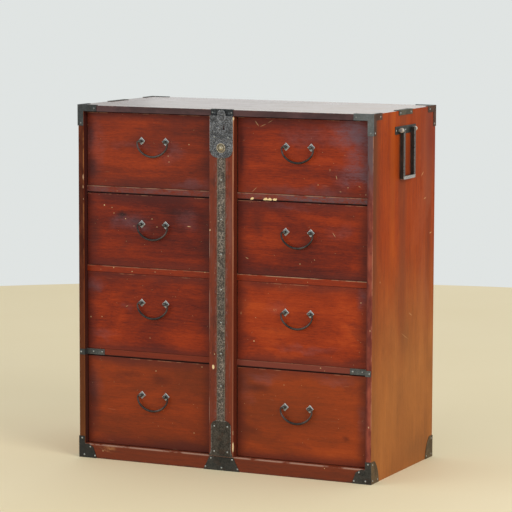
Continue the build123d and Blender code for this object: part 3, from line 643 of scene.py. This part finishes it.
def bar_lacquer():
    """The locking bar: streaked along its length, its right arris worn pale, with a painted
    highlight on it.
    """
    p = Paint("lacquer_bar")
    bands, streaks, pores = grain(p, 2, (7.7, 0.3, 3.8))
    p.colour = p.ramp(grain_tone(p, bands, streaks, pores), RED)
    p.cover((0.115, 0.042, 0.024), 0.5)
    wander = p.noise((70, 70, 9), 4.0, 0.65, distortion=0.3)
    streak = p.noise((240, 240, 5), 3.0, 0.6)
    lilac = p.near((0.027, BAR, 0.7), (0.012, 0.03, 0.16), soft=0.0)
    pale = p.most(
        p.mul(p.step(wander, 0.52, 0.72), p.step(streak, 0.45, 0.62)), p.mul(lilac, 0.75),
    )
    p.cover((0.22, 0.11, 0.095), pale, 0.5)
    beside = p.step(p.off(p.off(p.x), 0.015), 0.0075, 0.002)
    scuffs = p.step(p.noise((330, 330, 90), 3.0, 0.7), 0.46, 0.66)
    p.cover((0.205, 0.13, 0.128), beside, scuffs, p.step(wander, 0.25, 0.6), 0.6)
    hollow = p.noise((60, 60, 22), 3.0, 0.7, distortion=0.4, shift=(5, 1, 2))
    hollow = p.mul(p.step(hollow, 0.52, 0.7), p.step(p.x, 0.034, 0.03))
    p.cover((0.05, 0.017, 0.014), hollow, 0.45)
    face = p.step(p.y, BAR + 0.0022, BAR + 0.001)
    # the pale line on the right arris: wear with a painted highlight, stronger higher up
    across = p.off(p.x, 0.0362)
    line = p.mul(p.step(across, 0.0026, 0.0009), face, p.step(p.z, 0.45, 0.75, (0.3, 1.0)))
    line = p.mul(line, p.step(streak, 0.34, 0.5))
    p.cover((0.48, 0.22, 0.12), line, 0.8)
    left = p.step(p.off(p.x, -0.0364), 0.0022, 0.0008)
    p.cover((0.32, 0.19, 0.14), left, face, p.step(wander, 0.48, 0.62), 0.6)
    low = p.mul(p.step(p.z, 0.0475, 0.0455), p.step(across, 0.004, 0.008))
    p.cover((0.016, 0.011, 0.009), low, 0.9)
    flank = p.step(p.y, BAR + 0.0016, BAR + 0.0034)
    p.cover((0.1, 0.016, 0.007), flank, 0.75)
    fine = p.ragged(0.0035, 260)
    for x, z, rx, rz, strength in (
        (-0.0245, 0.2935, 0.0042, 0.0075, 1.0), (0.0375, 0.07, 0.003, 0.017, 1.0),
        (0.0355, 0.991, 0.0045, 0.005, 0.9), (-0.0349, 0.6787, 0.002, 0.003, 0.7),
        (0.037, 0.11, 0.0012, 0.008, 0.3), (-0.02, 0.33, 0.0014, 0.0022, 0.7),
    ):
        chip = p.near((x, BAR, z), (rx, 0.006, rz), soft=0.6, point=fine)
        p.cover((0.84, 0.64, 0.36), chip, strength)
    p.cover(PALE, p.specks(150, 0.03, 0.2), 0.85)
    rough = p.add(0.34, p.mul(wander, 0.16))
    height = wood_relief(p, streaks, pores, streak, 0.4)
    return p.finish(rough, height, 0.0004, Specular_IOR_Level=0.15)


def bare_wood(name, axis, tones, stain, front=None, planks=0, dirty=0.5):
    """Unfinished softwood with soft bands, fine lines and a little dirt."""
    p = Paint(name)
    bands, streaks, pores = grain(p, axis, (1.9, 3.1, 0.6))
    tone = grain_tone(p, bands, streaks, pores)
    joint = 0.0
    if planks:
        lo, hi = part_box("back_boards")
        place = p.mul(p.add(p.z, -lo.z), planks / (hi.z - lo.z))
        board = p.math("FLOOR", place)
        tone = p.add(tone, p.mul(p.math("SINE", p.add(p.mul(board, 2.4), 0.6)), 0.055))
        from_joint = p.off(p.math("FRACT", p.add(place, 0.5)), 0.5)
        joint = p.mul(p.step(from_joint, 0.012, 0.004), p.step(p.y, 0.0, 0.1))
    p.colour = p.ramp(tone, tones)
    if planks:
        p.cover((0.03, 0.018, 0.012), joint, 0.8)
    dirt_and_gap_shade = p.noise(5, 4.0, 0.65, distortion=0.6)
    p.cover(stain, p.step(dirt_and_gap_shade, 0.48, 0.74), dirty)
    if front:
        p.cover(front, p.step(p.y, RECESS + 0.002, RECESS + 0.001))
    rough = p.add(0.62, p.mul(streaks, 0.2))
    height = p.add(p.mul(streaks, 0.6), p.mul(pores, 0.4))
    return p.finish(rough, height, 0.0005, Specular_IOR_Level=0.3)


# ---------------------------------------------------------------- iron and brass
SHADED_IRON = (0.02, 0.022, 0.022)


def scaled(colour, times, plus=0.0):
    return tuple(min(c * times + plus, 1) for c in colour)


def iron(
    name, dark, light, rust, metallic, relief=None, edges=None, side_tone=None, rim_light=0.2,
):
    """Old blackened sheet iron: mottled, slightly dished by the hammer."""
    p = Paint(name)
    mottle = p.noise(260, 4.0, 0.65)
    cloud = p.noise(38, 4.0, 0.6, distortion=0.5)
    p.colour = p.mix(
        p.step(p.add(p.mul(mottle, 0.55), p.mul(cloud, 0.45)), 0.36, 0.64), dark, light,
    )
    brown = p.mul(p.step(p.noise(55, 4.0, 0.7, shift=(3, 1, 7)), 0.5, 0.68), rust)
    p.cover((0.085, 0.045, 0.028), brown)
    p.put(p.bsdf.inputs["Metallic"], metallic)
    p.put(p.bsdf.inputs["Specular IOR Level"], 0.4)
    if side_tone:
        # painted shade at the front's left, painted light at its upper right, brown on the sides
        fore = p.step(p.y, FRONT + 0.02, FRONT + 0.01)
        place = p.mul(p.step(p.x, -0.3, -0.37), fore)
        p.cover(SHADED_IRON, place, 0.6)
        place = p.mul(p.step(p.x, 0.3, 0.44), p.step(p.z, 0.6, 0.9), fore)
        p.cover(scaled(light, 1.7), place, 0.34)
        flange = p.step(p.off(p.x), SIDE + 0.0004, SIDE + 0.0012)
        flange = p.mul(flange, p.step(p.y, FRONT - 0.0012, FRONT + 0.0004))
        worn = p.step(cloud, 0.36, 0.62, (0.7, 1.2))
        brown_side = p.mix(p.step(mottle, 0.38, 0.62), side_tone, scaled(side_tone, 1.4))
        brown_side = p.mix(1.0, brown_side, worn, "MULTIPLY")
        p.cover(brown_side, flange, 0.94)
        p.put(
            p.bsdf.inputs["Metallic"], p.math("MULTIPLY_ADD", flange, -0.95 * metallic, metallic),
        )
        p.put(p.bsdf.inputs["Specular IOR Level"], p.math("MULTIPLY_ADD", flange, -0.3, 0.4))
    height = p.add(p.mul(cloud, 1.2), p.mul(mottle, 0.35))
    if relief:
        cut, pale = relief(p)
        rubbed = p.step(cloud, 0.3, 0.62, (0.25, 1.0))
        p.cover(scaled(dark, 0.35), cut, 0.62)
        p.cover(scaled(light, 2.3), pale, rubbed, 0.8)
        height = p.add(height, p.mul(cut, -1.6), p.mul(pale, 0.8))
    if edges:
        rim = p.math("MULTIPLY", edges(p), p.step(mottle, 0.34, 0.56), clamp=True)
        p.cover(scaled(light, 2.0, rim_light), rim, 0.85)
    rough = p.add(0.4, p.mul(mottle, 0.22), p.mul(brown, 0.4))
    return p.finish(rough, height, 0.00045)


def vine(p):
    """A winding stem with a curl in each bend, down the strap's middle."""
    wave, pitch = 0.044, 0.0056    # of the stem's bends, and of a curl's turns
    phase = p.mul(p.z, 2 * math.pi / wave)
    bend = p.mul(p.math("SINE", phase), 0.005)
    stem = p.step(p.off(p.add(p.x, p.mul(bend, -1.0))), 0.002, 0.0006)
    curls = 0.0
    for side, shift in ((1, 0.75), (-1, 0.25)):
        local_z = p.mul(
            p.add(p.math("FRACT", p.add(p.mul(p.z, 1 / wave), 1 - shift, 0.5)), -0.5), wave,
        )
        local_x = p.add(p.x, -side * 0.0028)
        radius = p.radius(local_x, local_z)
        angle = p.math("ARCTAN2", local_z, local_x)
        turn = p.math("SINE", p.add(p.mul(radius, 2 * math.pi / pitch), p.mul(angle, float(side))))
        curl = p.mul(p.step(turn, -0.1, 0.8), p.step(radius, 0.0078, 0.0066))
        curls = p.most(curls, curl)
    dots = p.noise(210, 2.0, 0.6)
    broken = p.step(p.noise(130, 3.0, 0.65, shift=(2, 2, 5)), 0.4, 0.6)
    pale = p.mul(p.most(p.mul(stem, 0.75), p.mul(curls, 0.85)), broken)
    cut = p.mul(p.math("SUBTRACT", 1.0, pale), p.step(dots, 0.4, 0.56))
    flecks = p.mul(p.step(p.noise(190, 3.0, 0.7, shift=(6, 1, 3)), 0.54, 0.63), 0.9)
    return (p.mul(cut, p.step(p.off(p.x), 0.0122, 0.0104)), p.most(pale, flecks))


CURLS = 88.0              # curls in a metre of the lock plate


def scrolls(p):
    """Curls of all sizes that fill a plate."""
    flat = p.vector("MULTIPLY", p.P, (1.0, 0.0, 1.0))
    cells = p.node("ShaderNodeTexVoronoi", {"Vector": flat, "Scale": CURLS, "Randomness": 0.85})
    scale = (CURLS, 0.0, CURLS)
    centre = p.vector("MULTIPLY", cells.outputs["Position"], scale)
    gap = p.vector("SUBTRACT", p.vector("MULTIPLY", p.P, scale), centre)
    radius = p.vector("LENGTH", gap)
    gap_x, _, gap_z = p.node("ShaderNodeSeparateXYZ", {0: gap}).outputs
    angle = p.math("ARCTAN2", gap_z, gap_x)
    turn = p.math("SINE", p.add(p.mul(radius, 16.0), angle))
    grit = p.noise(230, 3.0, 0.8)
    flecks = p.step(grit, 0.54, 0.64)
    pale = p.most(p.mul(p.step(turn, 0.15, 0.85), p.step(grit, 0.38, 0.58)), flecks)
    cut = p.most(p.mul(p.step(turn, -0.1, -0.8), 0.85), p.step(grit, 0.45, 0.34))
    return cut, pale


def strap_edges(p):
    """The strap's long edges, raggedly bright."""
    ragged = p.noise((240, 240, 150), 3.0, 0.6)
    return p.step(p.add(p.off(p.x), p.mul(ragged, 0.006)), 0.0125, 0.0145)


def foot_edges(p):
    """The foot plate's flanks and shoulders, raggedly bright."""
    ragged = p.noise(220, 3.0, 0.6)
    across = p.step(p.add(p.off(p.x), p.mul(ragged, 0.0024)), 0.03, 0.0314)
    head = p.step(p.add(p.z, p.mul(ragged, 0.0024)), 0.1418, 0.1432)
    return p.most(p.mul(across, p.step(p.z, 0.04, 0.06)), head)


def foot_rust(p):
    """Pits and pale flecks all over the foot plate."""
    grit = p.noise(380, 3.0, 0.8)
    return p.mul(p.step(grit, 0.47, 0.38), 0.8), p.mul(p.step(grit, 0.57, 0.68), 0.7)


def pole_edges(p):
    """The outer face, the arrises and the grip of a carrying handle, rubbed bright and painted
    with highlights.
    """
    leg = p.off(p.off(p.y, MID_Y), POLE_HALF)
    outer = p.step(p.off(p.x), SIDE + 0.0128, SIDE + 0.0142)
    arris = p.mul(outer, p.step(leg, 0.003, 0.0043, (0.1, 0.95)))
    grip = p.mul(p.step(p.z, POLE_FOOT + 0.01, POLE_FOOT + 0.008), outer)
    under = p.step(p.z, POLE_FOOT + 0.0016, POLE_FOOT + 0.0004)
    pins = p.step(p.off(p.y, MID_Y), POLE_HALF + 0.005, POLE_HALF + 0.0056)
    return p.most(arris, p.mul(grip, 1.6), p.mul(under, 1.6), pins)


def strike_chips(p):
    """Two chipped corners that shine."""
    torn = p.ragged(0.006, 260)
    chips = 0.0
    for x, z, rx, rz in (
        (-0.023, 1.0055, 0.005, 0.0032), (0.0225, 1.005, 0.0042, 0.005),
        (0.031, 0.999, 0.003, 0.003),
    ):
        chips = p.most(chips, p.near((x, BAR, z), (rx, 0.01, rz), soft=0.4, point=torn))
    return p.step(p.noise(330, 3.0, 0.7), 0.58, 0.44), chips


def lock_edges(p):
    """A ring round the keyhole, and the plate's long edges."""
    tongue = p.near((0, BAR, KEYHOLE_Z), (0.0118, 0.01, 0.0165), soft=0.99)
    ring = p.mul(
        p.near((0, BAR, KEYHOLE_Z), (0.0125, 0.01, 0.0172), soft=0.99),
        p.math("SUBTRACT", 1.0, tongue),
    )
    return p.most(ring, p.step(p.off(p.x), 0.0338, 0.0348))


def post_iron(name, column, row):
    """Bright-rimmed washers with a dark middle, and the dark eyes in front of them with painted
    glints.
    """
    p = Paint(name)
    sign = dict(COLUMNS)[column]
    mottle = p.noise(420, 4.0, 0.65)
    p.colour = p.mix(p.step(mottle, 0.35, 0.65), (0.17, 0.182, 0.182), (0.38, 0.4, 0.4))
    across = p.off(p.off(p.x, sign * HANDLE_X), POST_HALF)
    up = p.off(p.z, POST_Z[row])
    diamond = p.add(across, up)
    rim = p.mul(p.step(diamond, 0.0086, 0.01), p.step(mottle, 0.3, 0.5))
    p.cover((0.52, 0.55, 0.55), rim, 0.85)
    middle = p.step(diamond, 0.006, 0.0036)
    p.cover((0.045, 0.045, 0.045), middle, 0.7)
    eye = p.step(p.y, RECESS - 0.0017, RECESS - 0.0022)
    # painted glints on the eyes
    shine = p.step(p.noise(300, 3.0, 0.6, shift=(4, 2, 1)), 0.44, 0.66)
    p.cover(p.mix(shine, (0.045, 0.042, 0.04), (0.2, 0.185, 0.17)), eye)
    rough = p.add(0.34, p.mul(mottle, 0.2))
    return p.finish(rough, mottle, 0.0003, Metallic=0.65)


def bail_iron():
    """The bails: black in the hollows, rubbed bright by hands along the bow, with painted
    highlights.
    """
    p = Paint("iron_bails")
    mottle = p.noise(350, 4.0, 0.65)
    rubbed = p.step(p.noise(26, 2.0, 0.5, shift=(1, 4, 2)), 0.4, 0.66)
    p.colour = p.mix(p.step(mottle, 0.35, 0.65), (0.014, 0.012, 0.012), (0.052, 0.042, 0.041))
    # rubbed patches: wear with painted highlights
    p.cover((0.17, 0.125, 0.115), rubbed, 0.4)
    rough = p.add(0.26, p.mul(mottle, 0.2))
    return p.finish(rough, mottle, 0.0003, Metallic=0.7)


def brass():
    """The boss: dark in its groove, rubbed bright on the rim and the tip."""
    p = Paint("brass_boss")
    radius = p.radius(p.x, p.add(p.z, -BOSS_Z))
    mottle = p.noise(300, 4.0, 0.65)
    p.colour = p.mix(p.step(mottle, 0.32, 0.66), (0.2, 0.165, 0.11), (0.43, 0.37, 0.27))
    valley = p.mul(p.step(radius, 0.0068, 0.0082), p.step(radius, 0.0112, 0.01))
    p.cover((0.11, 0.09, 0.055), valley, 0.85)
    rim = p.step(radius, 0.0112, 0.0122)
    p.cover((0.58, 0.5, 0.4), rim, 0.7, p.step(mottle, 0.35, 0.6))
    tip = p.step(radius, 0.0034, 0.0018)
    p.cover((0.66, 0.6, 0.44), tip, 0.7)
    rough = p.add(0.3, p.mul(mottle, 0.2))
    return p.finish(rough, mottle, 0.0003, Metallic=0.85)


def nail_iron():
    """Bright nail heads, duller near the top of the front."""
    p = Paint("iron_nails")
    mottle = p.noise(700, 3.0, 0.6)
    p.colour = p.mix(p.step(mottle, 0.35, 0.65), (0.2, 0.21, 0.205), (0.5, 0.52, 0.51))
    front = p.step(p.off(p.x), SIDE + 0.0012, SIDE + 0.0004)
    p.cover((0.09, 0.094, 0.094), p.step(p.z, 0.93, 0.95), front, 0.6)
    return p.finish(p.add(0.3, p.mul(mottle, 0.25)), mottle, 0.0002, Metallic=0.7)


# ---------------------------------------------------------------- finishes on the nodes
for row in ROWS:
    for column, sign in COLUMNS:
        label = f"{column}_{row}"
        seed = row * 2 + (sign > 0)
        node = f"drawer_front_{label}"
        dress(drawer_lacquer(f"lacquer_drawer_{label}", node, seed, **DRAWERS[label]), node)
        dress(post_iron(f"iron_posts_{label}", column, row), f"handle_posts_{label}")
dress(rail_lacquer(), "row_rails")
dress(base_lacquer(), "base_rail")
dress(side_lacquer(), "left_side", "right_side")
dress(top_lacquer(), "top_board")
dress(bar_lacquer(), "lock_bar")

BACK_TONES = (
    (0.3, (0.15, 0.095, 0.058)), (0.48, (0.245, 0.165, 0.1)), (0.62, (0.32, 0.225, 0.14)),
    (0.76, (0.4, 0.295, 0.19)),
)
BOX_TONES = (
    (0.3, (0.36, 0.255, 0.15)), (0.48, (0.47, 0.345, 0.21)), (0.62, (0.56, 0.425, 0.27)),
    (0.76, (0.64, 0.51, 0.34)),
)
BACK_STAIN = (0.09, 0.058, 0.038)
BOX_STAIN = (0.3, 0.2, 0.11)
back_wood = bare_wood("wood_back", 0, BACK_TONES, BACK_STAIN, planks=4, dirty=0.3)
dress(back_wood, "back_boards", "bottom_board")
dress(bare_wood("wood_inside", 1, BACK_TONES, BACK_STAIN), "dust_boards", "drawer_guides")
stile_wood = bare_wood("wood_stile", 2, BACK_TONES, BACK_STAIN, front=(0.035, 0.01, 0.008))
dress(stile_wood, "centre_divider")
box_wood = bare_wood("wood_boxes", 1, BOX_TONES, BOX_STAIN)
dress(box_wood, *[f"drawer_box_{c}_{r}" for r in ROWS for c, _ in COLUMNS])

# name, dark, light, rust, metallic, the rest, and the nodes that take it
IRONS = (
    ("corners", (0.044, 0.048, 0.048), (0.12, 0.128, 0.128), 0.2, 0.55,
     {"side_tone": (0.062, 0.024, 0.011)}, ("top_corner_irons", "rail_straps")),
    ("edge_plates", (0.044, 0.044, 0.038), (0.11, 0.106, 0.088), 0.25, 0.55,
     {"side_tone": (0.06, 0.052, 0.036)}, ("edge_plates",)),
    ("strike_plate", (0.02, 0.024, 0.027), (0.062, 0.068, 0.074), 0.1, 0.5,
     {"relief": strike_chips}, ("strike_plate",)),
    ("base", (0.022, 0.022, 0.02), (0.062, 0.06, 0.054), 0.35, 0.55,
     {"side_tone": (0.09, 0.058, 0.029)}, ("base_corner_irons", "base_plate")),
    ("lock_plate", (0.052, 0.055, 0.06), (0.142, 0.146, 0.158), 0.12, 0.5,
     {"relief": scrolls, "edges": lock_edges}, ("lock_plate",)),
    ("strap", (0.074, 0.062, 0.052), (0.178, 0.148, 0.126), 0.2, 0.5,
     {"relief": vine, "edges": strap_edges, "rim_light": -0.16}, ("bar_strap",)),
    ("foot_plate", (0.03, 0.027, 0.022), (0.095, 0.08, 0.064), 0.5, 0.55,
     {"relief": foot_rust, "edges": foot_edges}, ("foot_plate",)),
    ("pole_fittings", (0.018, 0.019, 0.018), (0.062, 0.062, 0.056), 0.3, 0.55,
     {}, ("pole_plates", "lock_bolt")),
    # the posts' pale colours are painted highlights on their rounded heads
    ("pole_posts", (0.34, 0.3, 0.25), (0.78, 0.73, 0.66), 0.05, 0.4,
     {}, ("pole_posts",)),
    ("pole_handles", (0.008, 0.007, 0.006), (0.028, 0.025, 0.02), 0.3, 0.15,
     {"edges": pole_edges, "rim_light": 0.34}, ("pole_handle_left", "pole_handle_right")),
)
for name, dark, light, rust, metallic, rest, pieces in IRONS:
    dress(iron(f"iron_{name}", dark, light, rust, metallic, **rest), *pieces)
dress(nail_iron(), "case_nails", "bar_nails")
dress(brass(), "lock_boss")


# ---------------------------------------------------------------- wrought bails
PIN = 0.0325              # from the bail's middle to the ends of its rod
BAIL_Y = RECESS - 0.009
BAIL_HALF, BAIL_DROP, BOW_R, SIDE_R, ELBOW_R = 0.0475, 0.0435, 0.054, 0.03006, 0.005
ELBOW_STEPS, SIDE_STEPS, BOW_STEPS, RING_SIDES = 6, 8, 10, 14
ROD_R = 0.00236           # of the rod at its ends
SWELLING = 0.00098        # what the middle of the bow adds


def bail_line():
    """Points down one side of the bail, in x and z about its axis, from the eye to the bow."""
    lean = (BAIL_HALF - SIDE_R) / (BOW_R - SIDE_R)
    rise = math.sqrt(1 - lean * lean)
    bow_x, bow_z = BOW_R * lean, -BAIL_DROP + BOW_R * (1 - rise)
    centre_z = bow_z + SIDE_R * rise
    points = [(PIN, 0.0), (PIN + 0.004, 0.0), (BAIL_HALF - ELBOW_R, 0.0)]
    for i in range(1, ELBOW_STEPS + 1):
        a = math.pi / 2 * (1 - i / ELBOW_STEPS)
        points.append(
            (BAIL_HALF - ELBOW_R + ELBOW_R * math.cos(a), -ELBOW_R + ELBOW_R * math.sin(a)),
        )
    end = math.atan2(rise, lean)
    for i in range(SIDE_STEPS + 1):
        a = -end * i / SIDE_STEPS
        points.append((BAIL_HALF - SIDE_R + SIDE_R * math.cos(a), centre_z + SIDE_R * math.sin(a)))
    start = math.atan2(bow_x, BOW_R * rise)
    for i in range(1, BOW_STEPS + 1):
        a = start * (1 - i / BOW_STEPS)
        points.append((BOW_R * math.sin(a), -BAIL_DROP + BOW_R * (1 - math.cos(a))))
    return points


def bail_mesh(name, centre, seed):
    """A rod that swells towards the middle of the bow, with round ends."""
    half = bail_line()
    line = [(-x, z) for x, z in half] + [(x, z) for x, z in reversed(half[:-1])]
    points = [Vector((x, 0, z)) for x, z in line]
    lengths = [0.0]
    for a, b in zip(points, points[1:]):
        lengths.append(lengths[-1] + (b - a).length)
    mesh = bmesh.new()
    rings = []
    for i, point in enumerate(points):
        along = (points[min(i + 1, len(points) - 1)] - points[max(i - 1, 0)]).normalized()
        across = Vector((0, 1, 0))
        up = along.cross(across)
        t = 1 - abs(2 * lengths[i] / lengths[-1] - 1)
        swell = max(0.0, min(1.0, (t - 0.16) / 0.62))
        swell = swell * swell * (3 - 2 * swell)
        radius = ROD_R + SWELLING * swell
        radius *= 1 + 0.025 * math.sin(seed * 1.7 + i * 2.3) * (t > 0.2)
        ring = []
        for k in range(RING_SIDES):
            a = 2 * math.pi * k / RING_SIDES
            ring.append(mesh.verts.new(point + (up * math.cos(a) + across * math.sin(a)) * radius))
        rings.append(ring)
    for a, b in zip(rings, rings[1:]):
        for k in range(RING_SIDES):
            after = (k + 1) % RING_SIDES
            mesh.faces.new((a[k], a[after], b[after], b[k]))
    for ring in (rings[0], rings[-1]):
        mesh.faces.new(ring)
    bmesh.ops.recalc_face_normals(mesh, faces=mesh.faces)
    for face in mesh.faces:
        face.smooth = len(face.verts) == 4
    data = bpy.data.meshes.new(name)
    mesh.transform(Matrix.Translation(centre))
    mesh.to_mesh(data)
    mesh.free()
    made = bpy.data.objects.new(name, data)
    bpy.context.scene.collection.objects.link(made)
    return made


bail_material = bail_iron()
for row in ROWS:
    for column, sign in COLUMNS:
        label = f"{column}_{row}"
        bail = bail_mesh(
            f"wrought_bail_{label}", Vector((sign * HANDLE_X, BAIL_Y, POST_Z[row])), row + sign,
        )
        bail.data.materials.append(bail_material)
        rounding = bail.modifiers.new("round", "SUBSURF")
        rounding.levels = rounding.render_levels = 1
        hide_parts(f"handle_bail_{label}")
        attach(bail, f"bail_{label}")


# ---------------------------------------------------------------- worn arrises
WORN = {                  # how far an arris is rounded
    0.0009: ("row_rails",),
    0.0008: ("pole_handle_left", "pole_handle_right"),
    0.0006: ("lock_plate",),
    0.0005: ("top_corner_irons", "base_corner_irons", "rail_straps", "strike_plate", "base_plate",
             "edge_plates", "foot_plate", "pole_plates"),
    0.0004: ("bar_strap",),
}
for width, names in WORN.items():
    for name in names:
        bevel = nodes[name].modifiers.new("worn", "BEVEL")
        bevel.width = width
        bevel.segments = 2
        bevel.limit_method = "ANGLE"
        bevel.angle_limit = math.radians(40)


# ---------------------------------------------------------------- stage, light and camera
def studio_floor():
    p = Paint("floor")
    cloud = p.noise(1.5, 2.0, 0.5)
    p.colour = p.mix(cloud, (0.83, 0.71, 0.455), (0.87, 0.755, 0.51))
    return p.finish(0.75, Specular_IOR_Level=0.2)


FLOOR_R = 3.9
FLOOR_Z = -0.0002         # just below the feet
disc = bmesh.new()
bmesh.ops.create_circle(disc, cap_ends=True, radius=FLOOR_R, segments=128)
floor_mesh = bpy.data.meshes.new("floor")
disc.to_mesh(floor_mesh)
disc.free()
floor = bpy.data.objects.new("floor", floor_mesh)
floor.location = (0, 0, FLOOR_Z)
bpy.context.scene.collection.objects.link(floor)
floor_mesh.materials.append(studio_floor())

world = bpy.data.worlds.new("studio")
bpy.context.scene.world = world
world.use_nodes = True
tree = world.node_tree
tree.nodes.clear()


def background(colour, strength):
    made = tree.nodes.new("ShaderNodeBackground")
    made.inputs[0].default_value = (*colour, 1)
    made.inputs[1].default_value = strength
    return made.outputs[0]


light_path = tree.nodes.new("ShaderNodeLightPath")
seen = tree.nodes.new("ShaderNodeMath")
seen.operation = "MAXIMUM"
tree.links.new(light_path.outputs["Is Camera Ray"], seen.inputs[0])
tree.links.new(light_path.outputs["Is Glossy Ray"], seen.inputs[1])
blend = tree.nodes.new("ShaderNodeMixShader")
tree.links.new(seen.outputs[0], blend.inputs[0])
tree.links.new(background((0.97, 0.99, 1.0), 0.74), blend.inputs[1])
tree.links.new(background((0.745, 0.775, 0.765), 1.0), blend.inputs[2])
tree.links.new(blend.outputs[0], tree.nodes.new("ShaderNodeOutputWorld").inputs[0])


def softbox(name, place, aim, size, radiance, colour=(1, 1, 1)):
    """An area light of that radiance, unseen by the camera itself."""
    data = bpy.data.lights.new(name, "AREA")
    data.shape = "RECTANGLE"
    data.size, data.size_y = size
    data.energy = radiance * math.pi * size[0] * size[1]
    data.color = colour
    lamp = bpy.data.objects.new(name, data)
    lamp.location = place
    lamp.rotation_euler = (Vector(aim) - Vector(place)).to_track_quat("-Z", "Y").to_euler()
    lamp.visible_camera = False
    bpy.context.scene.collection.objects.link(lamp)


softbox("key", (4.2, -2.2, 2.9), (0.1, 0, 0.5), (2.6, 2.4), 5.2, (1.0, 0.985, 0.96))
softbox("fill", (-3.4, -3.8, 2.2), (0, 0, 0.5), (3.0, 2.4), 1.9, (0.96, 0.985, 1.0))
softbox("window", (-0.6, 5.2, 2.15), (0, 0, 1.0), (4.8, 2.3), 0.36, (0.98, 0.99, 1.0))

SENSOR, LENS = 36, 185.04
CAMERA = Vector((3.19008, -6.76172, 1.48308))
AZ, EL, ROLL = math.radians(25.2568), math.radians(6.8631), math.radians(0.17)
back = Vector((math.sin(AZ) * math.cos(EL), -math.cos(AZ) * math.cos(EL), math.sin(EL)))
right = (-back).cross(Vector((0, 0, 1))).normalized()
up = right.cross(-back)
across = right * math.cos(ROLL) + up * math.sin(ROLL)
upward = up * math.cos(ROLL) - right * math.sin(ROLL)
camera_data = bpy.data.cameras.new("camera")
camera_data.sensor_width = SENSOR
camera_data.lens = LENS
camera_data.clip_end = 60
camera = bpy.data.objects.new("camera", camera_data)
camera.matrix_world = Matrix((
    (across.x, upward.x, back.x, CAMERA.x),
    (across.y, upward.y, back.y, CAMERA.y),
    (across.z, upward.z, back.z, CAMERA.z),
    (0, 0, 0, 1),
))
bpy.context.scene.collection.objects.link(camera)
bpy.context.scene.camera = camera
bpy.context.scene.view_settings.view_transform = "Standard"
